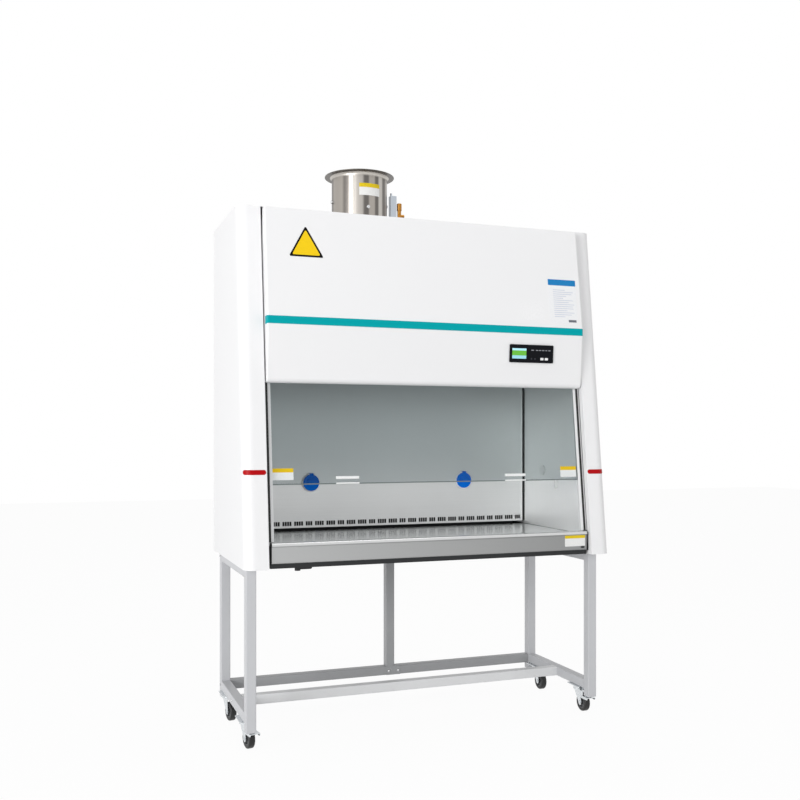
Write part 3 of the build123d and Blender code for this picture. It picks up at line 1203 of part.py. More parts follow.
def socket_base(x):
    """Round base with a contact well and two round-nosed ears that hold the lid's pin."""
    with BuildPart() as base:
        with BuildSketch(facing(CHAMBER_BACK)):
            with Locations((x, SOCKET_Z)):
                Circle(SOCKET_RING)
        extrude(amount=SOCKET_BASE)
        with BuildSketch(facing(CHAMBER_BACK - SOCKET_BASE)):
            with Locations((x, SOCKET_Z)):
                Circle(SOCKET_WELL)
        extrude(amount=-SOCKET_BASE / 2, mode=Mode.SUBTRACT)
        for side in (-1, 1):
            with BuildSketch(Plane.YZ.offset(x + side * EAR_SPACING)):
                with Locations((LID_HINGE_Y, LID_HINGE_Z)):
                    Circle(EAR_HALF)
                with Locations(((LID_HINGE_Y + CHAMBER_BACK) / 2, LID_HINGE_Z)):
                    Rectangle(CHAMBER_BACK - LID_HINGE_Y, 2 * EAR_HALF)
            extrude(amount=side * EAR_WIDTH)
        with BuildSketch(Plane.YZ.offset(x)):
            with Locations((LID_HINGE_Y, LID_HINGE_Z)):
                Circle(SOCKET_PIN)
        extrude(amount=EAR_SPACING, both=True)
    return base.part


def socket_lid(x):
    """Round blue lid with a lobed grip and a knuckle around the pin."""
    with BuildPart() as lid:
        with BuildSketch(facing(LID_BACK_Y)):
            with Locations((x, SOCKET_Z)):
                Circle(SOCKET_RADIUS)
        extrude(amount=SOCKET_LID)
        fillet(lid.edges().sort_by(Axis.Y)[0], LID_EDGE_ROUND)
        with BuildSketch(facing(LID_BACK_Y - SOCKET_LID)):
            with Locations((x, SOCKET_Z)):
                with PolarLocations(GRIP_RADIUS, 4, start_angle=45):
                    Circle(GRIP_LOBE)
                Rectangle(2 * GRIP_RADIUS, 2 * GRIP_RADIUS)
        extrude(amount=GRIP_HEIGHT)
        knuckle_half = EAR_SPACING - SIDE_PLAY
        with BuildSketch(Plane.YZ.offset(x)):
            with Locations((LID_HINGE_Y, LID_HINGE_Z)):
                Circle(SOCKET_PIN + LID_KNUCKLE)
        extrude(amount=knuckle_half, both=True)
        with BuildSketch(Plane.YZ.offset(x)):
            with Locations((LID_HINGE_Y, LID_HINGE_Z)):
                Circle(SOCKET_PIN + RUNNING_FIT)
        extrude(amount=EAR_SPACING + EAR_WIDTH, both=True, mode=Mode.SUBTRACT)
    return lid.part


LEFT_SOCKET_X = SOCKET_MIDDLE_X - SOCKET_X
RIGHT_SOCKET_X = SOCKET_MIDDLE_X + SOCKET_X
save([socket_base(LEFT_SOCKET_X), socket_base(RIGHT_SOCKET_X)], "socket_bases")
save(socket_lid(LEFT_SOCKET_X), "socket_lid_left")
save(socket_lid(RIGHT_SOCKET_X), "socket_lid_right")

# Fittings on the right wall: a blank plug and a small bracket
wall_plug = rod(Plane(origin=(CHAMBER_HALF, CHAMBER_BACK - PLUG_FROM_WALL, PLUG_Z), x_dir=(0, 1, 0),
                      z_dir=(-1, 0, 0)), PLUG_RADIUS, PLUG_HEIGHT)
hook_y = CHAMBER_BACK - HOOK_FROM_WALL
wall_hook = box_between((CHAMBER_HALF - HOOK_REACH, hook_y - HOOK_WIDTH / 2, HOOK_Z - HOOK_HEIGHT / 2),
                        (CHAMBER_HALF, hook_y + HOOK_WIDTH / 2, HOOK_Z + HOOK_HEIGHT / 2))
save([wall_plug, wall_hook], "wall_fittings")

# Drain valve under the base pan, with its lever on a pivot that faces the front
DRAIN_MID_Z = BASE_Z - DRAIN_HEIGHT / 2
PIVOT_FACE_Y = DRAIN_Y - DRAIN_RADIUS - SHEET
with BuildPart() as drain:
    with BuildSketch(Plane.XY.offset(BASE_Z - DRAIN_HEIGHT)):
        with Locations((DRAIN_X, DRAIN_Y)):
            Circle(DRAIN_RADIUS)
    extrude(amount=DRAIN_HEIGHT)
    add(box_between((DRAIN_X - DRAIN_BLOCK / 2, PIVOT_FACE_Y, DRAIN_MID_Z - DRAIN_BLOCK / 2),
                    (DRAIN_X + DRAIN_BLOCK / 2, DRAIN_Y, DRAIN_MID_Z + DRAIN_BLOCK / 2)))
    with BuildSketch(facing(PIVOT_FACE_Y)):
        with Locations((DRAIN_X, DRAIN_MID_Z)):
            Circle(LEVER_PIVOT)
    extrude(amount=LEVER_THICK + PIVOT_END)
    with BuildSketch(Plane.XY.offset(BASE_Z - DRAIN_HEIGHT)):
        with Locations((DRAIN_X, DRAIN_Y)):
            Circle(DRAIN_BORE)
    extrude(amount=DRAIN_HEIGHT, mode=Mode.SUBTRACT)
save(drain.part, "drain_valve")

with BuildPart() as lever:
    with BuildSketch(facing(PIVOT_FACE_Y - SIDE_PLAY)):
        with Locations((DRAIN_X + (LEVER_LENGTH - LEVER_WIDTH) / 2, DRAIN_MID_Z)):
            SlotOverall(LEVER_LENGTH, LEVER_WIDTH)
        with Locations((DRAIN_X, DRAIN_MID_Z)):
            Circle(LEVER_PIVOT + RUNNING_FIT, mode=Mode.SUBTRACT)
    extrude(amount=LEVER_THICK)
save(lever.part, "drain_lever")

# Cable gland for the mains lead, on the top cover
gland_foot = Plane.XY.offset(TOP_Z).move(Location((CENTRE_HALF - GLAND_INSET, REAR_Y - GLAND_INSET, 0)))
with BuildPart() as gland:
    with BuildSketch(gland_foot):
        RegularPolygon(GLAND_HEX, 6)
    extrude(amount=GLAND_HEX_HEIGHT)
    with BuildSketch(gland_foot.offset(GLAND_HEX_HEIGHT)):
        Circle(GLAND_BODY)
    extrude(amount=GLAND_HEIGHT - GLAND_HEX_HEIGHT)
    with BuildSketch(gland_foot):
        Circle(GLAND_BORE)
    extrude(amount=GLAND_HEIGHT, mode=Mode.SUBTRACT)
save(gland.part, "power_inlet")


def bolt(foot, radius=BOLT_RADIUS, length=BOLT_HEAD):
    """Round head that sits on the plane foot, with a rounded outer edge."""
    with BuildPart() as head:
        with BuildSketch(foot):
            Circle(radius)
        extrude(amount=length)
        fillet(head.edges().sort_by(Axis(foot.origin, foot.z_dir))[-1], BOLT_HEAD / 2)
    return head.part


# Screws: side frames to the rear and middle rails, the splice plate, and the collar
screws = []
rail_middle = RAIL_Z + TUBE / 2
for side in (-1, 1):
    outside = side * STAND_WIDTH / 2
    for y, z in ((REAR_LEG_Y, rail_middle), (MIDDLE_Y, rail_middle), (REAR_LEG_Y, BASE_Z - TUBE / 2)):
        screws.append(bolt(Plane(origin=(outside, y, z), x_dir=(0, side, 0), z_dir=(side, 0, 0))))
    splice_bolt_x = SPLICE_X + side * (SPLICE_WIDTH / 2 - SPLICE_BOLT_INSET)
    screws.append(bolt(Plane(origin=(splice_bolt_x, REAR_LEG_Y - TUBE / 2 - SHEET, rail_middle), x_dir=(1, 0, 0),
                             z_dir=(0, -1, 0))))
for dx, dy, z in ((-1, 0, SIDE_KNOB_Z), (1, 0, SIDE_KNOB_Z), (0, -1, FRONT_KNOB_Z), (0, 1, FRONT_KNOB_Z)):
    place = (COLLAR_X + dx * COLLAR_RADIUS, COLLAR_Y + dy * COLLAR_RADIUS, z)
    screws.append(bolt(Plane(origin=place, x_dir=(0, 0, 1), z_dir=(dx, dy, 0)), COLLAR_KNOB, COLLAR_KNOB_LENGTH))
save(screws, "screws")
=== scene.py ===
"""Looks of a floor-standing biosafety cabinet.

Finishes for its metalwork, glass and plastics, its blank labels and plates, the prints on its control
panel, its small fasteners, and a plain studio stage. Lengths are in metres unless a name says mm.
"""

import json
import math

import bmesh
import bpy
from bpy.props import FloatProperty, FloatVectorProperty, PointerProperty
from mathutils import Matrix, Vector


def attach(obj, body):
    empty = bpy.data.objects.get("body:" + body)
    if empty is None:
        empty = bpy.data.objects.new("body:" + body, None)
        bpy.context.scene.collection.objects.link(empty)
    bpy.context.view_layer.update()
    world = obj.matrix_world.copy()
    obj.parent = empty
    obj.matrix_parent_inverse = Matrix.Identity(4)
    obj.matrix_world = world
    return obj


bl_info = {
    "name": "Biosafety cabinet",
    "version": (1, 0, 0),
    "blender": (4, 5, 0),
    "location": "View3D > Sidebar > Cabinet",
    "description": "Finishes, labels, prints and stage of a floor-standing biosafety cabinet",
    "category": "Object",
}

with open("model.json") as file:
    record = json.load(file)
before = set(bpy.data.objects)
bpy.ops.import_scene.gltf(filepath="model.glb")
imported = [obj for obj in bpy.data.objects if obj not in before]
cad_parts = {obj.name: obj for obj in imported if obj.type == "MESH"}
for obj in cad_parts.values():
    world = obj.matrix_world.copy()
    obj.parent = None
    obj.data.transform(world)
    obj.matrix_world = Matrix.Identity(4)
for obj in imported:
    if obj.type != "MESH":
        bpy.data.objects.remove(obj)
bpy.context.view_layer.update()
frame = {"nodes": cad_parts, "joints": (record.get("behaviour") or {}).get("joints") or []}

# Body
LEAN = math.radians(6.73)
FRONT_Y = -0.341
REAR_Y = 0.341
BASE_Z = 0.676
HALF_SHEET = 0.001
COVER_X = 0.750
COVER_CORNER = 0.040
GLASS_DEPTH = 0.032
KNEE_Y = -0.281
KNEE_TOP = 1.595
KNEE_LOW = 1.566
HOOD_TOP = (-0.224, 2.003)
HOOD_FOOT = (-0.266, 1.351)
BEZEL_THICK = 0.005
DISPLAY_LOW = 1.4655
DISPLAY_HIGH = 1.5065
APRON_FACE = -0.321
APRON_ROLL = 0.757
CHAMBER_BACK = 0.228
CHAMBER_HALF = 0.650
WALL_HALF = 0.642
TREAD_RADIUS = 0.0259

# Exhaust collar
COLLAR = Vector((-0.210, 0.020, 0.0))
COLLAR_RADIUS = 0.1125
SEAM_FOOT = 2.016
FLARE_FOOT = 2.190
FLARE_TOP = 2.197
RIM_FOOT = 2.2055
RIM_TOP = 2.2065

# Thin pieces: how far they reach into what carries them, and the corners of labels
BURIED = 0.0002
HAIR = 0.0001
LABEL_CORNER = 0.002
PRINT_CORNER = 0.001

# Red markers on the corners of the side covers
MARKER_FLAT = 0.045
MARKER_END = MARKER_FLAT + COVER_CORNER * math.radians(62)
MARKER_HALF = 0.009
MARKER_THICK = 0.0016
MARKER_LEFT_Z = 1.024
MARKER_RIGHT_Z = 1.010
MARKER_STEPS = 24
TIP_HALF = 0.0004
TIP_REACH = 0.001
EDGE_FROM = 0.9
EDGE_THICKNESS = 0.35

# Sheets on the hood: middle as (x, z), and width and height
TRIANGLE = ((-0.569, 1.821), (-0.436, 1.821), (-0.5025, 1.939))
TRIANGLE_CORNER = 0.004
TRIANGLE_BORDER = 0.007
SHEET_PLACE, SHEET_SIZE = (0.5705, 1.7045), (0.127, 0.183)
HEAD_PLACE, HEAD_SIZE = (0.5705, 1.783), (0.127, 0.025)
FOOT_PLACE, FOOT_SIZE = (0.610, 1.6245), (0.036, 0.010)
FILM_PLACE, FILM_SIZE = (0.430, 1.657), (0.110, 0.073)
ROW_PLACE = (0.578, 1.752)
ROW_PITCH = 0.0085
ROW_HEIGHT = 0.0028
ROW_CORNER = 0.0008
ROW_LENGTH = 0.100
ROW_SHARES = (0.55, 0.92, 0.85, 0.6, 0.4501, 0.9, 0.7, 0.95, 0.88, 0.9, 0.62, 0.93, 0.8, 0.5)

# Prints on the control panel, as (x, width)
PANEL_BARS = ((0.424, 0.012), (0.444, 0.010), (0.458, 0.010), (0.472, 0.010), (0.486, 0.008),
              (0.500, 0.010))
BAR_HEIGHT = 0.0035
BAR_Z = 1.5005
PANEL_DOTS = (0.420, 0.436)
DOT_WIDTH = 0.006
DOT_ROUND = 0.0029
DOT_Z = 1.466
PRINT_THICK = 0.0002

# Labels and plates
SASH_LABELS = (("left", -0.636, -0.557, 1.015), ("right", 0.557, 0.630, 1.010))
SASH_LABEL_HEIGHT = 0.043
LABEL_HEAD = 0.015
SASH_HEAD_RISE = 0.014
APRON_PLATE_X = 0.595
APRON_PLATE_Z = 0.7335
APRON_PLATE_SIZE = (0.092, 0.047)
APRON_HEAD_Z = 0.7495
COLLAR_PLATE_TOP = 2.161
COLLAR_PLATE_FOOT = 2.113
COLLAR_HEAD_FOOT = 2.145
COLLAR_PLATE_ANGLES = range(-18, 28, 3)
COLLAR_PLATE_THICK = 0.0006
COLLAR_HEAD_THICK = 0.0010
SEAM_ANGLES = (-29.7, -29.2, -28.8, -28.3)
SEAM_THICK = 0.0007

# Fasteners, and strips of painted highlight in the chamber's corners
SCREW_RADIUS = 0.004
SCREW_HEIGHT = 0.0022
SCREW_SIDES = 16
SCREW_COLUMNS = (-0.645, -0.43, -0.215, 0.0, 0.215, 0.43, 0.645)
SCREW_ROWS = (0.95, 1.21, 1.47, 1.73)
SCREW_FOOT, SCREW_TOP = 0.690, 1.999
STRIP_SIZE = (0.007, 0.600)
STRIP_Z = 1.070
STRIP_THICK = 0.0008
STRIP_TO_WALL = 0.0042
STRIP_TO_BACK = 0.0065
PLUG_PLACE, PLUG_SIZE = (0.630, 0.706), (0.014, 0.008)
PLUG_THICK = 0.003

# Patterns. Steel's scratches lie about 0.2 mm apart and are drawn coarser, so that they show.
SCRATCH_MM = 2.5
ALONG_GRAIN = 1.5
PEEL_MM = 1.8
BUMP_DEPTH = 0.0001

# Stage: lamps as name, place, aim, size, share of the key lamp's power, and whether mirrors show it
SENSOR_MM = 36.0
LENS_MM = 43.106
LENS_SHIFT = 0.0454
CAMERA_PLACE = (-1.4037, -3.7112, 1.1542)
CAMERA_TURN = (math.radians(90), 0, math.radians(-20.17))
CAMERA_REACH = 60
LAMPS = (("key_lamp", (-7.5, -5.2, 2.2), (0, 0, 1.2), (4.8, 3.6), 1.0, True),
         ("fill_lamp", (3.0, -4.5, 2.0), (0, 0, 1.0), (2.4, 2.4), 0.07, False),
         ("top_lamp", (0.0, -0.4, 5.2), (0, 0, 1.0), (4.0, 3.0), 0.12, True))
FLOOR_HALF = 14
FLOOR_GLOW = 0.955


# Small tools

def linear(code):
    """Linear colour of an sRGB hex code."""
    parts = [int(code[i:i + 2], 16) / 255 for i in (1, 3, 5)]
    return tuple(c / 12.92 if c <= 0.04045 else ((c + 0.055) / 1.055) ** 2.4 for c in parts) + (1.0,)


def add_node(tree, kind, inputs=None, **settings):
    """Adds one node, gives it its settings, and sets or links its inputs."""
    node = tree.nodes.new(kind)
    for key, value in settings.items():
        setattr(node, key, value)
    for key, value in (inputs or {}).items():
        if isinstance(value, bpy.types.NodeSocket):
            tree.links.new(value, node.inputs[key])
        else:
            node.inputs[key].default_value = value
    return node


def new_material(name):
    """An empty material with its node tree and output."""
    material = bpy.data.materials.new(name)
    material.use_nodes = True
    tree = material.node_tree
    tree.nodes.clear()
    return material, tree, add_node(tree, "ShaderNodeOutputMaterial")


def plane_at(origin, across, up):
    """Matrix of a plane: across and up lie in it, and its third direction points out of it."""
    across = Vector(across).normalized()
    up = Vector(up).normalized()
    out = across.cross(up)
    turned = Matrix((across, up, out)).transposed().to_4x4()
    turned.translation = Vector(origin)
    return turned


def on_plane(plane, x, z):
    """Place on a plane, in its own two directions, of the point at x and height z."""
    up = plane.to_3x3() @ Vector((0, 1, 0))
    return x, (z - plane.translation.z) / up.z


def front_point(x, z, depth):
    """Point at height z that lies depth behind the leaning front."""
    return Vector((x, FRONT_Y + (z - BASE_Z) * math.tan(LEAN) + depth / math.cos(LEAN), z))


def rounded(width, height, radius, steps=5):
    """Outline of a rounded rectangle about its centre."""
    points = []
    for sx, sy, start in ((1, 1, 0), (-1, 1, 90), (-1, -1, 180), (1, -1, 270)):
        for i in range(steps + 1):
            angle = math.radians(start + 90 * i / steps)
            points.append((sx * (width / 2 - radius) + radius * math.cos(angle),
                           sy * (height / 2 - radius) + radius * math.sin(angle)))
    return points


def centred(outline, place):
    """Outline moved to a place."""
    return [(u + place[0], v + place[1]) for u, v in outline]


def slab(bm, outline, plane, low, high):
    """Adds a thin flat solid: an outline on a plane, between two heights over it."""
    rings = [[bm.verts.new(plane @ Vector((u, v, level))) for u, v in outline] for level in (low, high)]
    bm.faces.new(rings[0][::-1])
    bm.faces.new(rings[1])
    for i in range(len(outline)):
        j = (i + 1) % len(outline)
        bm.faces.new((rings[0][i], rings[0][j], rings[1][j], rings[1][i]))


def bent_strip(bm, place, stations, levels):
    """Adds a solid strip: place gives its inner and its outer point at each station and level."""
    rows = [[[bm.verts.new(place(station, level, out)) for out in (0, 1)] for level in levels]
            for station in stations]
    bands = range(len(levels) - 1)
    for a, b in zip(rows, rows[1:]):
        for k in bands:
            bm.faces.new((a[k][1], b[k][1], b[k + 1][1], a[k + 1][1]))
            bm.faces.new((a[k][0], a[k + 1][0], b[k + 1][0], b[k][0]))
        bm.faces.new((a[0][0], b[0][0], b[0][1], a[0][1]))
        bm.faces.new((a[-1][0], a[-1][1], b[-1][1], b[-1][0]))
    for row in (rows[0], rows[-1]):
        for k in bands:
            bm.faces.new((row[k][0], row[k][1], row[k + 1][1], row[k + 1][0]))


def new_piece(name, bm, material, body):
    """Object made from a bmesh, with its material, riding on a body."""
    bmesh.ops.remove_doubles(bm, verts=bm.verts, dist=1e-6)
    bmesh.ops.recalc_face_normals(bm, faces=bm.faces)
    mesh = bpy.data.meshes.new(name)
    bm.to_mesh(mesh)
    bm.free()
    piece = bpy.data.objects.new(name, mesh)
    bpy.context.scene.collection.objects.link(piece)
    piece.data.materials.append(material)
    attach(piece, body)


def label(name, material, body, plane, place, size, low, high, corner=LABEL_CORNER, steps=5):
    """One rounded rectangle on a plane, between two heights over it."""
    bm = bmesh.new()
    slab(bm, centred(rounded(*size, corner, steps), place), plane, low, high)
    new_piece(name, bm, material, body)


# Planes of the body's flat faces

HOOD_UPPER = plane_at((0, KNEE_Y, KNEE_TOP), (1, 0, 0),
                      (0, HOOD_TOP[0] - KNEE_Y, HOOD_TOP[1] - KNEE_TOP))
HOOD_LOWER = plane_at((0, HOOD_FOOT[0], HOOD_FOOT[1]), (1, 0, 0),
                      (0, KNEE_Y - HOOD_FOOT[0], KNEE_LOW - HOOD_FOOT[1]))
GLASS_FRONT = plane_at(front_point(0, BASE_Z, GLASS_DEPTH), (1, 0, 0),
                       (0, math.sin(LEAN), math.cos(LEAN)))
APRON_FRONT = plane_at((0, APRON_FACE, 0), (1, 0, 0), (0, 0, 1))
REAR_FACE = plane_at((0, REAR_Y, 0), (-1, 0, 0), (0, 0, 1))
CHAMBER_WALL = plane_at((0, CHAMBER_BACK, 0), (1, 0, 0), (0, 0, 1))


# Materials

def powder_coat(name, colour, roughness, peel_mm=PEEL_MM):
    """Polyester powder coat, sprayed and baked: an even satin film with a faint orange peel."""
    material, tree, output = new_material(name)
    where = add_node(tree, "ShaderNodeTexCoord").outputs["Object"]
    peel = add_node(tree, "ShaderNodeTexNoise", {
        "Vector": where, "Scale": 1000 / peel_mm, "Detail": 2.0, "Roughness": 0.5})
    drift = add_node(tree, "ShaderNodeTexNoise", {"Vector": where, "Scale": 2.2, "Detail": 3.0})
    gloss = add_node(tree, "ShaderNodeMapRange", {
        "Value": drift.outputs["Fac"], "To Min": roughness - 0.04, "To Max": roughness + 0.04})
    bump = add_node(tree, "ShaderNodeBump", {
        "Height": peel.outputs["Fac"], "Strength": 0.25, "Distance": BUMP_DEPTH})
    shader = add_node(tree, "ShaderNodeBsdfPrincipled", {
        "Base Color": colour, "Roughness": gloss.outputs["Result"], "IOR": 1.5,
        "Normal": bump.outputs["Normal"]})
    tree.links.new(shader.outputs["BSDF"], output.inputs["Surface"])
    return material


def brushed_steel(name, colour, roughness, grain, metallic=1.0):
    """Brushed stainless sheet: long straight scratch lines blur what it mirrors across them.

    Steel that hands and cleaners have dulled is less of a mirror, so it is a little less metallic.
    """
    material, tree, output = new_material(name)
    where = add_node(tree, "ShaderNodeTexCoord").outputs["Object"]
    scale = [ALONG_GRAIN if axis == grain else 1000 / SCRATCH_MM for axis in "XYZ"]
    lines = add_node(tree, "ShaderNodeVectorMath", {0: where, 1: scale}, operation="MULTIPLY")
    scratch = add_node(tree, "ShaderNodeTexNoise", {
        "Vector": lines.outputs["Vector"], "Scale": 1.0, "Detail": 4.0, "Roughness": 0.65})
    cloud = add_node(tree, "ShaderNodeTexNoise", {"Vector": where, "Scale": 3.5, "Detail": 2.0})
    tone = add_node(tree, "ShaderNodeMapRange", {
        "Value": scratch.outputs["Fac"], "To Min": 0.925, "To Max": 1.025})
    shade = add_node(tree, "ShaderNodeVectorMath", {
        0: colour[:3], "Scale": tone.outputs["Result"]}, operation="SCALE")
    rough = add_node(tree, "ShaderNodeMapRange", {
        "Value": cloud.outputs["Fac"], "To Min": roughness - 0.02, "To Max": roughness + 0.03})
    bump = add_node(tree, "ShaderNodeBump", {
        "Height": scratch.outputs["Fac"], "Strength": 0.15, "Distance": BUMP_DEPTH})
    shader = add_node(tree, "ShaderNodeBsdfPrincipled", {
        "Base Color": shade.outputs["Vector"], "Metallic": metallic,
        "Roughness": rough.outputs["Result"], "Normal": bump.outputs["Normal"]})
    tree.links.new(shader.outputs["BSDF"], output.inputs["Surface"])
    return material


def apron_steel(name):
    """Brushed stainless apron: a dull face with painted shade that darkens it to the right, and a rolled
    edge that is less rough and painted paler as a highlight.
    """
    material, tree, output = new_material(name)
    where = add_node(tree, "ShaderNodeTexCoord").outputs["Object"]
    across = 1000 / SCRATCH_MM
    lines = add_node(tree, "ShaderNodeVectorMath", {
        0: where, 1: (ALONG_GRAIN, across, across)}, operation="MULTIPLY")
    scratch = add_node(tree, "ShaderNodeTexNoise", {
        "Vector": lines.outputs["Vector"], "Scale": 1.0, "Detail": 4.0})
    split = add_node(tree, "ShaderNodeSeparateXYZ", {"Vector": where})
    # Painted highlight: above APRON_ROLL the rolled edge is paler, and it is also less rough.
    rolled = add_node(tree, "ShaderNodeMapRange", {
        "Value": split.outputs["Z"], "From Min": APRON_ROLL, "From Max": APRON_ROLL + 0.002})
    # Painted shade: the face is lighter at its left end and darker at its right end.
    tone = add_node(tree, "ShaderNodeMapRange", {
        "Value": split.outputs["X"], "From Min": -CHAMBER_HALF, "From Max": CHAMBER_HALF,
        "To Min": 1.2, "To Max": 0.72})
    dull = add_node(tree, "ShaderNodeVectorMath", {
        0: linear("#A9AAAA")[:3], "Scale": tone.outputs["Result"]}, operation="SCALE")
    colour = add_node(tree, "ShaderNodeMix", {
        "Factor": rolled.outputs["Result"], "A": dull.outputs["Vector"], "B": linear("#D2D3D3")},
        data_type="RGBA")
    rough = add_node(tree, "ShaderNodeMapRange", {
        "Value": rolled.outputs["Result"], "To Min": 0.32, "To Max": 0.20})
    bump = add_node(tree, "ShaderNodeBump", {
        "Height": scratch.outputs["Fac"], "Strength": 0.15, "Distance": BUMP_DEPTH})
    shader = add_node(tree, "ShaderNodeBsdfPrincipled", {
        "Base Color": colour.outputs["Result"], "Metallic": 0.75,
        "Roughness": rough.outputs["Result"], "Normal": bump.outputs["Normal"]})
    tree.links.new(shader.outputs["BSDF"], output.inputs["Surface"])
    return material


def rolled_steel(name):
    """Stainless sheet rolled to a pipe: upright dark and bright bands of painted reflection, standing for
    the surroundings that the pipe mirrors.

    The bands are shares of a full turn about the pipe. The flare is paler, a painted highlight, and its
    rim is darker.
    """
    material, tree, output = new_material(name)
    where = add_node(tree, "ShaderNodeTexCoord").outputs["Object"]
    centre = add_node(tree, "ShaderNodeVectorMath", {0: where, 1: COLLAR[:]}, operation="SUBTRACT")
    split = add_node(tree, "ShaderNodeSeparateXYZ", {"Vector": centre.outputs["Vector"]})
    angle = add_node(tree, "ShaderNodeMath", {
        0: split.outputs["Y"], 1: split.outputs["X"]}, operation="ARCTAN2")
    turn = add_node(tree, "ShaderNodeMapRange", {
        "Value": angle.outputs["Value"], "From Min": -math.pi, "From Max": math.pi})
    bands = add_node(tree, "ShaderNodeValToRGB", {"Fac": turn.outputs["Result"]})
    ramp = bands.color_ramp
    ramp.interpolation = "EASE"
    # Painted reflections: the dark and bright bands stand in for what the pipe mirrors.
    dark, middle, shine, light = map(linear, ("#6E6A66", "#A9A39C", "#B7B2AC", "#BDB9B3"))
    painted_reflection_stops = ((0.0, dark), (0.02, middle), (0.09, middle), (0.115, dark), (0.135, dark), (0.145, shine),
             (0.215, shine), (0.232, dark), (0.25, dark), (0.262, middle), (0.288, middle), (0.30, dark),
             (0.315, dark), (0.325, light), (0.345, light), (0.36, dark), (0.38, dark), (0.40, middle),
             (0.45, dark), (0.60, light), (0.75, middle), (0.90, light), (0.96, dark), (1.0, dark))
    ramp.elements[0].color = painted_reflection_stops[0][1]
    ramp.elements[1].color = painted_reflection_stops[-1][1]
    for place, colour in painted_reflection_stops[1:-1]:
        ramp.elements.new(place).color = colour
    # Painted highlight: the flare is paler than the pipe.
    flare = add_node(tree, "ShaderNodeMapRange", {
        "Value": split.outputs["Z"], "From Min": FLARE_FOOT, "From Max": FLARE_TOP})
    tone = add_node(tree, "ShaderNodeMix", {
        "Factor": flare.outputs["Result"], "A": bands.outputs["Color"], "B": linear("#C9C4BD")},
        data_type="RGBA")
    rim = add_node(tree, "ShaderNodeMapRange", {
        "Value": split.outputs["Z"], "From Min": RIM_FOOT, "From Max": RIM_TOP})
    edged = add_node(tree, "ShaderNodeMix", {
        "Factor": rim.outputs["Result"], "A": tone.outputs["Result"], "B": dark}, data_type="RGBA")
    scratch = add_node(tree, "ShaderNodeTexNoise", {"Vector": where, "Scale": 1000 / SCRATCH_MM})
    rough = add_node(tree, "ShaderNodeMapRange", {
        "Value": scratch.outputs["Fac"], "To Min": 0.30, "To Max": 0.40})
    shader = add_node(tree, "ShaderNodeBsdfPrincipled", {
        "Base Color": edged.outputs["Result"], "Metallic": 1.0, "Roughness": rough.outputs["Result"]})
    tree.links.new(shader.outputs["BSDF"], output.inputs["Surface"])
    return material


def rear_cover_coat(name, colour, inner_painted_shade):
    """White powder coat outside, and painted shade on the inner face: near-black, standing for the unlit
    air duct.
    """
    material, tree, output = new_material(name)
    where = add_node(tree, "ShaderNodeTexCoord").outputs["Object"]
    split = add_node(tree, "ShaderNodeSeparateXYZ", {"Vector": where})
    outer = add_node(tree, "ShaderNodeMath", {
        0: split.outputs["Y"], 1: REAR_Y - HALF_SHEET}, operation="GREATER_THAN")
    peel = add_node(tree, "ShaderNodeTexNoise", {"Vector": where, "Scale": 1000 / PEEL_MM})
    tint = add_node(tree, "ShaderNodeMix", {
        "Factor": outer.outputs["Value"], "A": inner_painted_shade, "B": colour}, data_type="RGBA")
    rough = add_node(tree, "ShaderNodeMapRange", {
        "Value": peel.outputs["Fac"], "To Min": 0.34, "To Max": 0.44})
    shader = add_node(tree, "ShaderNodeBsdfPrincipled", {
        "Base Color": tint.outputs["Result"], "Roughness": rough.outputs["Result"], "IOR": 1.5})
    tree.links.new(shader.outputs["BSDF"], output.inputs["Surface"])
    return material


def galvanised_steel(name, crystal_mm=12):
    """Hot-dip galvanised sheet: zinc crystals a centimetre wide, each with its own tone."""
    material, tree, output = new_material(name)
    where = add_node(tree, "ShaderNodeTexCoord").outputs["Object"]
    spangle = add_node(tree, "ShaderNodeTexVoronoi", {"Vector": where, "Scale": 1000 / crystal_mm})
    tone = add_node(tree, "ShaderNodeValToRGB", {"Fac": spangle.outputs["Color"]})
    tone.color_ramp.elements[0].color = linear("#8E9295")
    tone.color_ramp.elements[1].color = linear("#B4B8BA")
    rough = add_node(tree, "ShaderNodeMapRange", {
        "Value": spangle.outputs["Distance"], "To Min": 0.38, "To Max": 0.55})
    shader = add_node(tree, "ShaderNodeBsdfPrincipled", {
        "Base Color": tone.outputs["Color"], "Metallic": 1.0, "Roughness": rough.outputs["Result"]})
    tree.links.new(shader.outputs["BSDF"], output.inputs["Surface"])
    return material


def plain_metal(name, low, high, roughness, spot_mm):
    """Plated, cast, drawn or milled metal: a slightly uneven tone in small soft spots."""
    material, tree, output = new_material(name)
    where = add_node(tree, "ShaderNodeTexCoord").outputs["Object"]
    spots = add_node(tree, "ShaderNodeTexNoise", {
        "Vector": where, "Scale": 1000 / spot_mm, "Detail": 3.0})
    tone = add_node(tree, "ShaderNodeValToRGB", {"Fac": spots.outputs["Fac"]})
    for element, place, code in zip(tone.color_ramp.elements, (0.35, 0.65), (low, high)):
        element.position = place
        element.color = linear(code)
    rough = add_node(tree, "ShaderNodeMapRange", {
        "Value": spots.outputs["Fac"], "To Min": roughness - 0.05, "To Max": roughness + 0.08})
    shader = add_node(tree, "ShaderNodeBsdfPrincipled", {
        "Base Color": tone.outputs["Color"], "Metallic": 1.0, "Roughness": rough.outputs["Result"]})
    tree.links.new(shader.outputs["BSDF"], output.inputs["Surface"])
    return material


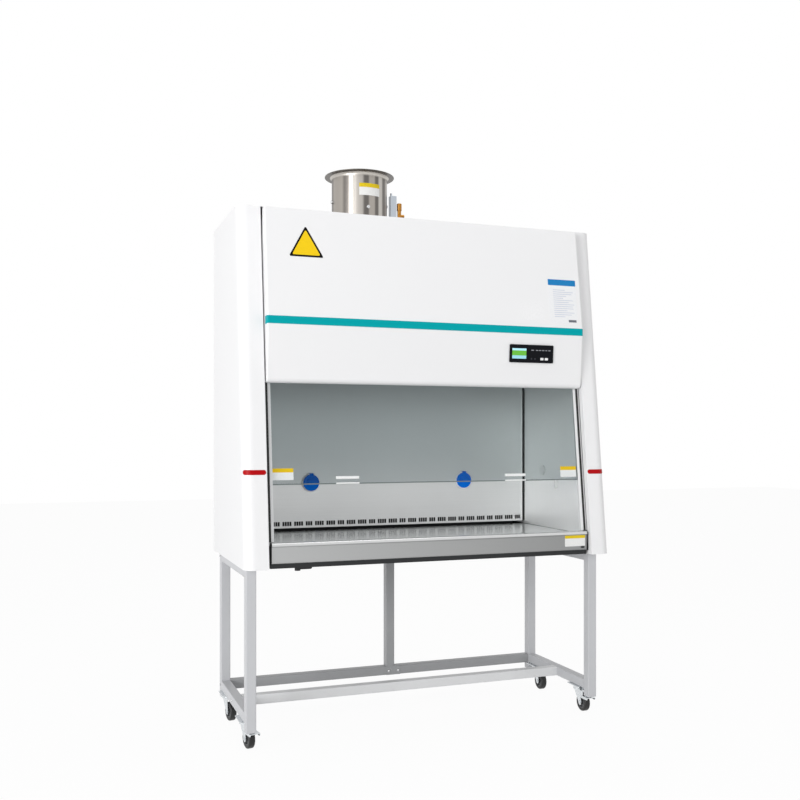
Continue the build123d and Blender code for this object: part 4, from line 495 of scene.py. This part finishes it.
def moulded(name, colour, roughness, grain_mm=1.5, grain=0.2, specular=0.5):
    """One colour with a fine, even texture: moulded plastic and rubber, vinyl, paper, paint, opal glass.

    A mould's own grain is under 0.5 mm; it is drawn coarser, so that it shows.
    """
    material, tree, output = new_material(name)
    where = add_node(tree, "ShaderNodeTexCoord").outputs["Object"]
    skin = add_node(tree, "ShaderNodeTexNoise", {
        "Vector": where, "Scale": 1000 / grain_mm, "Detail": 2.0})
    rough = add_node(tree, "ShaderNodeMapRange", {
        "Value": skin.outputs["Fac"], "To Min": roughness - 0.04, "To Max": roughness + 0.04})
    bump = add_node(tree, "ShaderNodeBump", {
        "Height": skin.outputs["Fac"], "Strength": grain, "Distance": BUMP_DEPTH})
    shader = add_node(tree, "ShaderNodeBsdfPrincipled", {
        "Base Color": colour, "Roughness": rough.outputs["Result"], "IOR": 1.5,
        "Specular IOR Level": specular, "Normal": bump.outputs["Normal"]})
    tree.links.new(shader.outputs["BSDF"], output.inputs["Surface"])
    return material


def caster_wheel_material(name, axle):
    """Caster wheel: black thermoplastic tread round a grey moulded hub."""
    material, tree, output = new_material(name)
    where = add_node(tree, "ShaderNodeTexCoord").outputs["Object"]
    centre = add_node(tree, "ShaderNodeVectorMath", {
        0: where, 1: (0.0, axle[1], axle[2])}, operation="SUBTRACT")
    flat = add_node(tree, "ShaderNodeVectorMath", {
        0: centre.outputs["Vector"], 1: (0.0, 1.0, 1.0)}, operation="MULTIPLY")
    radius = add_node(tree, "ShaderNodeVectorMath", {0: flat.outputs["Vector"]}, operation="LENGTH")
    tread = add_node(tree, "ShaderNodeMath", {
        0: radius.outputs["Value"], 1: TREAD_RADIUS}, operation="GREATER_THAN")
    skin = add_node(tree, "ShaderNodeTexNoise", {"Vector": where, "Scale": 1000 / 1.5})
    colour = add_node(tree, "ShaderNodeMix", {
        "Factor": tread.outputs["Value"], "A": linear("#4A4B4D"), "B": linear("#0A0A0B")},
        data_type="RGBA")
    rough = add_node(tree, "ShaderNodeMapRange", {
        "Value": skin.outputs["Fac"], "To Min": 0.38, "To Max": 0.52})
    shader = add_node(tree, "ShaderNodeBsdfPrincipled", {
        "Base Color": colour.outputs["Result"], "Roughness": rough.outputs["Result"]})
    tree.links.new(shader.outputs["BSDF"], output.inputs["Surface"])
    return material


def laminated_glass(name, tint):
    """Laminated safety glass: clear, with the faint grey-green of its film, and a mirror at low angles.

    Only the face towards the eye mirrors: without refraction, the far face would turn black at low angles.
    """
    material, tree, output = new_material(name)
    ray = add_node(tree, "ShaderNodeLightPath")
    clear = add_node(tree, "ShaderNodeBsdfTransparent", {"Color": tint})
    shadow = add_node(tree, "ShaderNodeBsdfTransparent", {"Color": linear("#F4F6F5")})
    gloss = add_node(tree, "ShaderNodeBsdfGlossy", {"Color": linear("#8C8C8C"), "Roughness": 0.02})
    edge = add_node(tree, "ShaderNodeFresnel", {"IOR": 1.45})
    side = add_node(tree, "ShaderNodeNewGeometry")
    front = add_node(tree, "ShaderNodeMath", {
        0: 1.0, 1: side.outputs["Backfacing"]}, operation="SUBTRACT")
    mirror = add_node(tree, "ShaderNodeMath", {
        0: edge.outputs["Fac"], 1: front.outputs["Value"]}, operation="MULTIPLY")
    pane = add_node(tree, "ShaderNodeMixShader", {
        0: mirror.outputs["Value"], 1: clear.outputs["BSDF"], 2: gloss.outputs["BSDF"]})
    lit = add_node(tree, "ShaderNodeMixShader", {
        0: ray.outputs["Is Shadow Ray"], 1: pane.outputs["Shader"], 2: shadow.outputs["BSDF"]})
    tree.links.new(lit.outputs["Shader"], output.inputs["Surface"])
    return material


def printed_film(name, colour, roughness=0.35, specular=0.25, fibre_mm=4):
    """Printed vinyl or paper film, pressed on a surface: an even tone with a faint mottle.

    Real fibres are under 0.5 mm; the mottle is drawn coarser, so that it shows.
    """
    material, tree, output = new_material(name)
    where = add_node(tree, "ShaderNodeTexCoord").outputs["Object"]
    fibre = add_node(tree, "ShaderNodeTexNoise", {
        "Vector": where, "Scale": 1000 / fibre_mm, "Detail": 3.0})
    tone = add_node(tree, "ShaderNodeMapRange", {
        "Value": fibre.outputs["Fac"], "From Min": 0.3, "From Max": 0.7, "To Min": 0.94, "To Max": 1.0})
    shade = add_node(tree, "ShaderNodeVectorMath", {
        0: colour[:3], "Scale": tone.outputs["Result"]}, operation="SCALE")
    shader = add_node(tree, "ShaderNodeBsdfPrincipled", {
        "Base Color": shade.outputs["Vector"], "IOR": 1.45, "Specular IOR Level": specular,
        "Roughness": roughness})
    tree.links.new(shader.outputs["BSDF"], output.inputs["Surface"])
    return material


def lit_display(name):
    """Lit graphic display: a green field between two pale blue strips, under a clear window."""
    material, tree, output = new_material(name)
    where = add_node(tree, "ShaderNodeTexCoord").outputs["Object"]
    split = add_node(tree, "ShaderNodeSeparateXYZ", {"Vector": where})
    height = add_node(tree, "ShaderNodeMapRange", {
        "Value": split.outputs["Z"], "From Min": DISPLAY_LOW, "From Max": DISPLAY_HIGH})
    bands = add_node(tree, "ShaderNodeValToRGB", {"Fac": height.outputs["Result"]})
    ramp = bands.color_ramp
    ramp.interpolation = "CONSTANT"
    ramp.elements[0].color = linear("#8FC9D6")
    ramp.elements[1].position = 0.78
    ramp.elements[1].color = linear("#A9DDE8")
    ramp.elements.new(0.30).color = linear("#58A82A")
    shader = add_node(tree, "ShaderNodeBsdfPrincipled", {
        "Base Color": bands.outputs["Color"], "Roughness": 0.15,
        "Emission Color": bands.outputs["Color"], "Emission Strength": 0.35})
    tree.links.new(shader.outputs["BSDF"], output.inputs["Surface"])
    return material


class CabinetSettings(bpy.types.PropertyGroup):
    """Sizes and colours that a user would change."""
    coat_colour: FloatVectorProperty(
        name="Body coat", description="Powder coat of the body", subtype="COLOR",
        size=4, min=0, max=1, default=linear("#F3F3F4"))
    stand_colour: FloatVectorProperty(
        name="Stand coat", description="Powder coat of the stand", subtype="COLOR",
        size=4, min=0, max=1, default=linear("#C9CACD"))
    stripe_colour: FloatVectorProperty(
        name="Stripe", description="Film on the knee of the hood", subtype="COLOR",
        size=4, min=0, max=1, default=linear("#06A6AD"))
    glass_tint: FloatVectorProperty(
        name="Glass tint", description="What one face of the sash lets through", subtype="COLOR",
        size=4, min=0, max=1, default=(0.81, 0.835, 0.84, 1.0))
    label_thickness: FloatProperty(
        name="Label thickness", description="Height of labels over their surface",
        default=0.0006, min=0.0002, max=0.002, unit="LENGTH")
    key_light: FloatProperty(
        name="Key light", description="Power of the large left lamp in watts", default=435, min=0)
    room_light: FloatProperty(
        name="Room light", description="Strength of the even light from all round", default=0.44, min=0)


def settings():
    """The scene's cabinet settings."""
    return bpy.context.scene.cabinet_settings


def give(material, *names):
    """Gives CAD nodes one material."""
    for name in names:
        node = frame["nodes"][name]
        node.data.materials.clear()
        node.data.materials.append(material)


class CABINET_OT_stage(bpy.types.Operator):
    """Camera, lamps, white surroundings and a pale floor"""
    bl_idname = "cabinet.stage"
    bl_label = "Stage"

    def execute(self, context):
        scene = context.scene
        scene.view_settings.view_transform = "Standard"
        self.set_camera(scene)
        self.light_world(scene)
        self.lay_floor(scene)
        self.hang_lamps(scene)
        return {"FINISHED"}

    def set_camera(self, scene):
        """Camera at a standing person's chest, left of the cabinet."""
        lens = bpy.data.cameras.new("camera")
        lens.sensor_width = SENSOR_MM
        lens.lens = LENS_MM
        lens.shift_y = LENS_SHIFT
        lens.clip_end = CAMERA_REACH
        camera = bpy.data.objects.new("camera", lens)
        camera.location = CAMERA_PLACE
        camera.rotation_euler = CAMERA_TURN
        scene.collection.objects.link(camera)
        scene.camera = camera

    def hang_lamps(self, scene):
        """Large soft lamps: the key from the left, a weak fill from the right, and one overhead."""
        for name, place, aim, size, share, mirrored in LAMPS:
            lamp = bpy.data.lights.new(name, "AREA")
            lamp.shape = "RECTANGLE"
            lamp.size, lamp.size_y = size
            lamp.energy = share * settings().key_light
            lamp.specular_factor = 1.0 if mirrored else 0.0
            holder = bpy.data.objects.new(name, lamp)
            holder.location = place
            holder.visible_glossy = mirrored
            holder.rotation_euler = (Vector(aim) - Vector(place)).to_track_quat("-Z", "Y").to_euler()
            scene.collection.objects.link(holder)

    def seen_directly(self, tree):
        """Socket that is 1 for rays from the eye, from mirrors and through glass."""
        ray = add_node(tree, "ShaderNodeLightPath")
        mirrored = add_node(tree, "ShaderNodeMath", {
            0: ray.outputs["Is Camera Ray"], 1: ray.outputs["Is Glossy Ray"]}, operation="MAXIMUM")
        through = add_node(tree, "ShaderNodeMath", {
            0: mirrored.outputs["Value"], 1: ray.outputs["Is Transmission Ray"]}, operation="MAXIMUM")
        return through.outputs["Value"]

    def light_world(self, scene):
        """White surroundings, with a weaker even light on the object."""
        world = bpy.data.worlds.new("white_room")
        world.use_nodes = True
        tree = world.node_tree
        tree.nodes.clear()
        room = add_node(tree, "ShaderNodeBackground", {
            "Color": linear("#FFFFFF"), "Strength": settings().room_light})
        white = add_node(tree, "ShaderNodeBackground", {"Color": linear("#FFFFFF"), "Strength": 1.0})
        mix = add_node(tree, "ShaderNodeMixShader", {
            0: self.seen_directly(tree), 1: room.outputs["Background"], 2: white.outputs["Background"]})
        output = add_node(tree, "ShaderNodeOutputWorld")
        tree.links.new(mix.outputs["Shader"], output.inputs["Surface"])
        scene.world = world

    def lay_floor(self, scene):
        """Pale floor that keeps a soft shadow of the cabinet."""
        material, tree, output = new_material("pale_floor")
        paint = add_node(tree, "ShaderNodeBsdfDiffuse", {"Color": linear("#F5F5F5")})
        glow = add_node(tree, "ShaderNodeEmission", {"Color": linear("#FFFFFF"), "Strength": 1.0})
        share = add_node(tree, "ShaderNodeMath", {
            0: self.seen_directly(tree), 1: FLOOR_GLOW}, operation="MULTIPLY")
        mix = add_node(tree, "ShaderNodeMixShader", {
            0: share.outputs["Value"], 1: paint.outputs["BSDF"], 2: glow.outputs["Emission"]})
        tree.links.new(mix.outputs["Shader"], output.inputs["Surface"])
        bm = bmesh.new()
        bmesh.ops.create_grid(bm, x_segments=1, y_segments=1, size=FLOOR_HALF)
        mesh = bpy.data.meshes.new("floor")
        bm.to_mesh(mesh)
        bm.free()
        floor = bpy.data.objects.new("floor", mesh)
        floor.data.materials.append(material)
        scene.collection.objects.link(floor)


class CABINET_OT_finishes(bpy.types.Operator):
    """Finishes of the metalwork, glass, plastics and rubber"""
    bl_idname = "cabinet.finishes"
    bl_label = "Finishes"

    def execute(self, context):
        self.coat()
        self.finish_steel()
        self.finish_metals()
        self.finish_plastics()
        return {"FINISHED"}

    def coat(self):
        """Powder-coated sheet and tube. The stand's rear frame is coated darker as painted shade, and its
        middle rail paler as painted light.
        """
        body = settings().coat_colour
        give(powder_coat("white_powder_coat", body, 0.38),
             "left_side_cover", "right_side_cover", "top_cover", "front_hood")
        # The rear cover's inner face gets near-black as painted shade.
        give(rear_cover_coat("rear_cover_coat", body, linear("#060607")), "rear_cover")
        give(powder_coat("grey_powder_coat", settings().stand_colour, 0.42),
             "left_stand_frame", "right_stand_frame")
        # Painted shade and light: the rear frame and the middle rail get darker and paler copies of the
        # grey stand coat.
        give(powder_coat("dark_grey_powder_coat", linear("#A6A7A9"), 0.42), "rear_stand_frame")
        give(powder_coat("pale_grey_powder_coat", linear("#E8E9EA"), 0.42), "middle_stand_rail")
        give(powder_coat("guide_powder_coat", linear("#EDEEEF"), 0.4), "sash_guides")
        give(powder_coat("box_powder_coat", linear("#A9ACAF"), 0.45, 2), "control_box")

    def finish_steel(self):
        """Stainless sheet of the chamber, the apron, the pan and the collar."""
        give(brushed_steel("brushed_stainless_across", linear("#DCDDDD"), 0.36, "X", 0.8),
             "slotted_rear_wall", "supply_diffuser")
        give(brushed_steel("worktop_stainless", linear("#EAEBEB"), 0.20, "X", 0.7), "worktop")
        give(apron_steel("apron_stainless"), "front_apron")
        give(brushed_steel("brushed_stainless_upright", linear("#EEEFEF"), 0.40, "Z", 0.6),
             "inner_side_walls")
        give(rolled_steel("rolled_stainless"), "exhaust_collar")
        # The base pan is near-black: painted shade under the apron.
        give(brushed_steel("dull_stainless", linear("#3C3D3E"), 0.5, "X"), "base_pan")
        give(brushed_steel("folded_stainless", linear("#BFC6CE"), 0.35, "Z"), "duct_bracket")

    def finish_metals(self):
        """Galvanised ducts, plated casters, screws, weights, cables, brass and aluminium."""
        give(galvanised_steel("galvanised_sheet"), "air_box", "blower_housing", "blower_wheel")
        give(plain_metal("zinc_plated_steel", "#CFD3D6", "#E6E9EB", 0.24, 6),
             "brake_pedal_front_left", "brake_pedal_front_right", "caster_plates", "fork_front_left",
             "fork_front_right", "fork_rear_left", "fork_rear_right")
        give(plain_metal("polished_stainless", "#C8C9CA", "#DADBDC", 0.16, 4), "screws")
        give(plain_metal("anodised_aluminium", "#C9CBCC", "#D6D8D9", 0.32, 5), "sash_carriers")
        give(plain_metal("mill_finish_steel", "#5A5B5D", "#6E6F71", 0.5, 12), "counterweights")
        give(plain_metal("wire_rope_steel", "#77797B", "#9A9C9E", 0.38, 1.2), "sash_cables")
        give(plain_metal("brass", "#9C6A2C", "#C08A45", 0.28, 4), "duct_fitting")

    def finish_plastics(self):
        """Plastics, rubber, glass, filter paper and painted iron."""
        give(moulded("glass_fibre_paper", linear("#F1F0EA"), 0.8, 3.0, 0.6),
             "supply_filter", "exhaust_filter")
        give(moulded("white_acrylic", linear("#F2F3F3"), 0.25, 2.0, 0.05), "sash_handles")
        give(moulded("smoked_polycarbonate", linear("#66706F"), 0.3, 2.0, 0.05), "sash_edge_trim")
        give(moulded("black_coated_steel", linear("#17181A"), 0.45), "drain_lever", "drain_valve")
        give(moulded("teal_vinyl_film", settings().stripe_colour, 0.55, 2.5, 0.05, 0.05),
             "teal_stripe")
        give(moulded("black_polycarbonate", linear("#101116"), 0.3, 1.5, 0.05, 0.08),
             "control_bezel")
        give(lit_display("lit_display"), "display_window")
        give(moulded("white_abs", linear("#F0F0F0"), 0.4), "power_key", "fan_key")
        give(moulded("epdm_rubber", linear("#0B0B0C"), 0.62), "black_seals")
        give(laminated_glass("laminated_glass", settings().glass_tint), "sash_glass")
        give(moulded("nylon", linear("#1F2022"), 0.4), "sash_pulleys", "power_inlet")
        give(moulded("painted_cast_iron", linear("#2B313C"), 0.45, 2.5, 0.4), "blower_motor")
        give(moulded("opal_lamp_glass", linear("#F2F4F4"), 0.15, 2.0, 0.0), "work_lamp", "uv_lamp")
        give(moulded("pale_grey_abs", linear("#FFFFFF"), 0.4), "socket_bases")
        give(moulded("blue_polyamide", linear("#0A7AEE"), 0.5, 1.5, 0.1, 0.04),
             "socket_lid_left", "socket_lid_right")
        give(moulded("pale_polypropylene", linear("#E2E3E3"), 0.4), "wall_fittings")
        for joint in frame["joints"]:
            if joint["name"].startswith("roll_"):
                corner = joint["name"][len("roll_"):]
                give(caster_wheel_material(f"caster_wheel_{corner}", joint["pos_m"]), f"wheel_{corner}")


class CABINET_OT_corner_markers(bpy.types.Operator):
    """Red markers round the front corners of the side covers"""
    bl_idname = "cabinet.corner_markers"
    bl_label = "Corner markers"

    def execute(self, context):
        red = moulded("red_acrylic", linear("#B4050E"), 0.35, 2.0, 0.05, 0.12)
        edge = (-1.0, -0.93, -0.75, 0.75, 0.93, 1.0)
        for side, name in ((-1, "left"), (1, "right")):
            bm = bmesh.new()
            bent_strip(bm, lambda station, share, out: self.place(side, station, share, out),
                       self.stations(), edge)
            new_piece(f"corner_marker_{name}", bm, red, "cabinet")
        return {"FINISHED"}

    def stations(self):
        """Lengths from the marker's inner end, along the cover's face and round its corner."""
        tip = [MARKER_HALF * (1 - math.cos(math.radians(a))) for a in range(0, 91, 15)]
        body = [MARKER_HALF + (MARKER_END - 2 * MARKER_HALF) * i / MARKER_STEPS
                for i in range(1, MARKER_STEPS)]
        return tip + body + [MARKER_END - reach for reach in reversed(tip)]

    def place(self, side, station, share, out):
        """Point of the marker's back or front; both ends are half round, and the edges are thinner."""
        gap = min(station, MARKER_END - station, MARKER_HALF)
        half = max(TIP_HALF, math.sqrt(max(0.0, MARKER_HALF ** 2 - (MARKER_HALF - gap) ** 2)))
        z = (MARKER_LEFT_Z if side < 0 else MARKER_RIGHT_Z) + share * half
        thick = 1 if abs(share) < EDGE_FROM and gap > TIP_REACH else EDGE_THICKNESS
        rise = MARKER_THICK * out * thick
        corner_x = COVER_X - COVER_CORNER
        if station < MARKER_FLAT:
            return front_point(side * (corner_x - MARKER_FLAT + station), z, -rise)
        angle = (station - MARKER_FLAT) / COVER_CORNER
        reach = COVER_CORNER + rise
        return front_point(side * (corner_x + reach * math.sin(angle)), z,
                           COVER_CORNER - reach * math.cos(angle))


class CABINET_OT_hood_sheets(bpy.types.Operator):
    """Blank triangle, blank sheet with a blue head, and a clear film on the hood"""
    bl_idname = "cabinet.hood_sheets"
    bl_label = "Hood sheets"

    def execute(self, context):
        thick = settings().label_thickness
        for name, material, inset, low, high in (
                ("triangle_border", printed_film("black_vinyl", linear("#0E0E0D"), 0.5, 0.1),
                 0.0, -BURIED, thick),
                ("triangle_face", printed_film("yellow_vinyl", linear("#FAD214")),
                 TRIANGLE_BORDER, thick / 2, 1.4 * thick)):
            bm = bmesh.new()
            slab(bm, self.triangle(inset), HOOD_UPPER, low, high)
            new_piece(name, bm, material, "hood")
        label("info_sheet", printed_film("white_laminated_paper", linear("#F7F8FA"), 0.25), "hood",
              HOOD_UPPER, on_plane(HOOD_UPPER, *SHEET_PLACE), SHEET_SIZE, -BURIED, thick)
        label("info_sheet_head", printed_film("blue_print", linear("#1982C3"), 0.25), "hood",
              HOOD_UPPER, on_plane(HOOD_UPPER, *HEAD_PLACE), HEAD_SIZE, thick / 2, 1.3 * thick)
        bm = bmesh.new()
        for row, share in enumerate(ROW_SHARES):
            place = on_plane(HOOD_UPPER, ROW_PLACE[0] - ROW_LENGTH * (1 - share) / 2,
                             ROW_PLACE[1] - ROW_PITCH * row)
            slab(bm, centred(rounded(ROW_LENGTH * share, ROW_HEIGHT, ROW_CORNER, 2), place),
                 HOOD_UPPER, thick / 2, 1.2 * thick)
        new_piece("info_sheet_rows", bm, printed_film("grey_print", linear("#D3D8E4"), 0.3), "hood")
        label("info_sheet_foot", printed_film("dark_print", linear("#6B6F78"), 0.3), "hood",
              HOOD_UPPER, on_plane(HOOD_UPPER, *FOOT_PLACE), FOOT_SIZE, thick / 2, 1.2 * thick,
              PRINT_CORNER, 2)
        label("clear_film", printed_film("clear_film", linear("#F9F9FA"), 0.2), "hood",
              HOOD_UPPER, on_plane(HOOD_UPPER, *FILM_PLACE), FILM_SIZE, -BURIED, thick / 2)
        return {"FINISHED"}

    def triangle(self, inset):
        """Outline of the triangle with rounded corners, drawn in by an inset."""
        corners = [Vector(on_plane(HOOD_UPPER, x, z)) for x, z in TRIANGLE]
        centre = sum(corners, Vector((0, 0))) / 3
        points = []
        for corner in corners:
            inward = (centre - corner).normalized()
            heart = corner + inward * (2 * inset + 2 * TRIANGLE_CORNER)
            base = math.atan2(-inward.y, -inward.x)
            points += [heart + TRIANGLE_CORNER * Vector((math.cos(base + a), math.sin(base + a)))
                       for a in (math.radians(d) for d in (-60, -30, 0, 30, 60))]
        return [(p.x, p.y) for p in points]


class CABINET_OT_panel_prints(bpy.types.Operator):
    """Small pale bars on the control panel"""
    bl_idname = "cabinet.panel_prints"
    bl_label = "Panel prints"

    def execute(self, context):
        bars = [(x, BAR_Z, (width, BAR_HEIGHT), PRINT_CORNER, 2) for x, width in PANEL_BARS]
        dots = [(x, DOT_Z, (DOT_WIDTH, DOT_WIDTH), DOT_ROUND, 3) for x in PANEL_DOTS]
        for name, material, marks in (
                ("panel_bars", printed_film("pale_print", linear("#9A9CA2"), 0.4), bars),
                ("panel_dots", printed_film("dim_print", linear("#3F4148"), 0.4), dots)):
            bm = bmesh.new()
            for x, z, size, corner, steps in marks:
                slab(bm, centred(rounded(*size, corner, steps), on_plane(HOOD_LOWER, x, z)),
                     HOOD_LOWER, BEZEL_THICK - HAIR, BEZEL_THICK + PRINT_THICK)
            new_piece(name, bm, material, "hood")
        return {"FINISHED"}


class CABINET_OT_sash_labels(bpy.types.Operator):
    """Blank labels in the lower corners of the sash"""
    bl_idname = "cabinet.sash_labels"
    bl_label = "Sash labels"

    def execute(self, context):
        thick = settings().label_thickness
        yellow = printed_film("yellow_label_print", linear("#E6C21C"), 0.35)
        white = printed_film("white_label_paper", linear("#E9ECEC"), 0.35)
        for name, low, high, z in SASH_LABELS:
            middle = (low + high) / 2
            label(f"sash_label_{name}", white, "sash", GLASS_FRONT, on_plane(GLASS_FRONT, middle, z),
                  (high - low, SASH_LABEL_HEIGHT), 0.0, thick)
            label(f"sash_label_head_{name}", yellow, "sash", GLASS_FRONT,
                  on_plane(GLASS_FRONT, middle, z + SASH_HEAD_RISE),
                  (high - low, LABEL_HEAD), thick / 2, 1.3 * thick)
        return {"FINISHED"}


class CABINET_OT_body_plates(bpy.types.Operator):
    """Blank plates on the apron and the collar, and the collar's welded seam"""
    bl_idname = "cabinet.body_plates"
    bl_label = "Body plates"

    def execute(self, context):
        thick = settings().label_thickness
        yellow = printed_film("yellow_plate_print", linear("#E9CB22"), 0.3)
        white = printed_film("white_plate_film", linear("#F2F2F0"), 0.3)
        label("apron_plate", white, "cabinet", APRON_FRONT, (APRON_PLATE_X, APRON_PLATE_Z),
              APRON_PLATE_SIZE, -HAIR, thick)
        label("apron_plate_head", yellow, "cabinet", APRON_FRONT, (APRON_PLATE_X, APRON_HEAD_Z),
              (APRON_PLATE_SIZE[0], LABEL_HEAD), thick / 2, 1.3 * thick)
        self.wrap("collar_plate", white, COLLAR_PLATE_ANGLES, (COLLAR_PLATE_FOOT, COLLAR_PLATE_TOP),
                  HAIR, COLLAR_PLATE_THICK)
        self.wrap("collar_plate_head", yellow, COLLAR_PLATE_ANGLES,
                  (COLLAR_HEAD_FOOT, COLLAR_PLATE_TOP), HAIR, COLLAR_HEAD_THICK)
        self.wrap("collar_seam", brushed_steel("weld_seam_steel", linear("#8D8B86"), 0.35, "Z"),
                  SEAM_ANGLES, (SEAM_FOOT, FLARE_FOOT), 0.0, SEAM_THICK)
        return {"FINISHED"}

    def wrap(self, name, material, degrees, levels, lift, thick):
        """A strip round the collar; its angles go from the collar's front towards the right."""
        def place(angle, z, out):
            reach = COLLAR_RADIUS + (out * thick + lift)
            return Vector((COLLAR.x + reach * math.sin(angle), COLLAR.y - reach * math.cos(angle), z))

        bm = bmesh.new()
        bent_strip(bm, place, [math.radians(a) for a in degrees], levels)
        new_piece(name, bm, material, "cabinet")


class CABINET_OT_fasteners(bpy.types.Operator):
    """Screw heads on the rear cover, a plug in the apron, and bright strips in the chamber's corners as
    painted highlights
    """
    bl_idname = "cabinet.fasteners"
    bl_label = "Fasteners"

    def execute(self, context):
        steel = plain_metal("stainless_screw", "#B5B7B8", "#D0D2D3", 0.2, 3)
        bm = bmesh.new()
        for x in SCREW_COLUMNS:
            for z in (SCREW_FOOT, SCREW_TOP):
                self.pan_head(bm, REAR_FACE, (-x, z))
        for z in SCREW_ROWS:
            for x in (SCREW_COLUMNS[0], SCREW_COLUMNS[-1]):
                self.pan_head(bm, REAR_FACE, (-x, z))
        new_piece("rear_cover_screws", bm, steel, "cabinet")
        # Painted highlights: bright steel strips stand where the chamber's rounded corners catch the
        # light.
        polished = brushed_steel("polished_strip_steel", linear("#E4E5E5"), 0.22, "Z")
        strip = rounded(*STRIP_SIZE, PRINT_CORNER, 2)
        for side, name in ((-1, "left"), (1, "right")):
            flank = plane_at((side * CHAMBER_HALF, 0, 0), (0, -side, 0), (0, 0, 1))
            bm = bmesh.new()
            for plane, place in ((CHAMBER_WALL, (side * (WALL_HALF - STRIP_TO_WALL), STRIP_Z)),
                                 (flank, (-side * (CHAMBER_BACK - STRIP_TO_BACK), STRIP_Z))):
                slab(bm, centred(strip, place), plane, -BURIED, STRIP_THICK)
            new_piece(f"corner_strips_{name}", bm, polished, "cabinet")
        label("apron_plug", moulded("black_nylon_plug", linear("#101011"), 0.4), "cabinet",
              APRON_FRONT, PLUG_PLACE, PLUG_SIZE, -BURIED, PLUG_THICK)
        return {"FINISHED"}

    def pan_head(self, bm, plane, place):
        """Adds one round screw head; its recess is a shallow dimple."""
        rings = []
        for share, level in ((1, -BURIED), (1, SCREW_HEIGHT * 0.45), (0.8, SCREW_HEIGHT * 0.85),
                             (0.45, SCREW_HEIGHT), (0.28, SCREW_HEIGHT * 0.7)):
            reach = SCREW_RADIUS * share
            angles = [2 * math.pi * i / SCREW_SIDES for i in range(SCREW_SIDES)]
            rings.append([bm.verts.new(plane @ Vector((place[0] + reach * math.cos(a),
                                                       place[1] + reach * math.sin(a), level)))
                          for a in angles])
        for a, b in zip(rings, rings[1:]):
            for i in range(SCREW_SIDES):
                j = (i + 1) % SCREW_SIDES
                bm.faces.new((a[i], a[j], b[j], b[i]))
        bm.faces.new(rings[0][::-1])
        bm.faces.new(rings[-1])


class CABINET_PT_panel(bpy.types.Panel):
    """Sidebar panel of the cabinet"""
    bl_idname = "CABINET_PT_panel"
    bl_label = "Cabinet"
    bl_space_type = "VIEW_3D"
    bl_region_type = "UI"
    bl_category = "Cabinet"

    def draw(self, context):
        for name in CabinetSettings.__annotations__:
            self.layout.prop(context.scene.cabinet_settings, name)
        for operator in OPERATORS:
            self.layout.operator(operator.bl_idname)


OPERATORS = (CABINET_OT_stage, CABINET_OT_finishes, CABINET_OT_corner_markers,
             CABINET_OT_hood_sheets, CABINET_OT_panel_prints, CABINET_OT_sash_labels,
             CABINET_OT_body_plates, CABINET_OT_fasteners)
CLASSES = (CabinetSettings,) + OPERATORS + (CABINET_PT_panel,)


def register():
    for cls in CLASSES:
        bpy.utils.register_class(cls)
    bpy.types.Scene.cabinet_settings = PointerProperty(type=CabinetSettings)


def unregister():
    del bpy.types.Scene.cabinet_settings
    for cls in reversed(CLASSES):
        bpy.utils.unregister_class(cls)


def main():
    """Registers the classes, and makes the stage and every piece."""
    register()
    for operator in OPERATORS:
        group, name = operator.bl_idname.split(".")
        getattr(getattr(bpy.ops, group), name)()


if __name__ == "__main__":
    main()
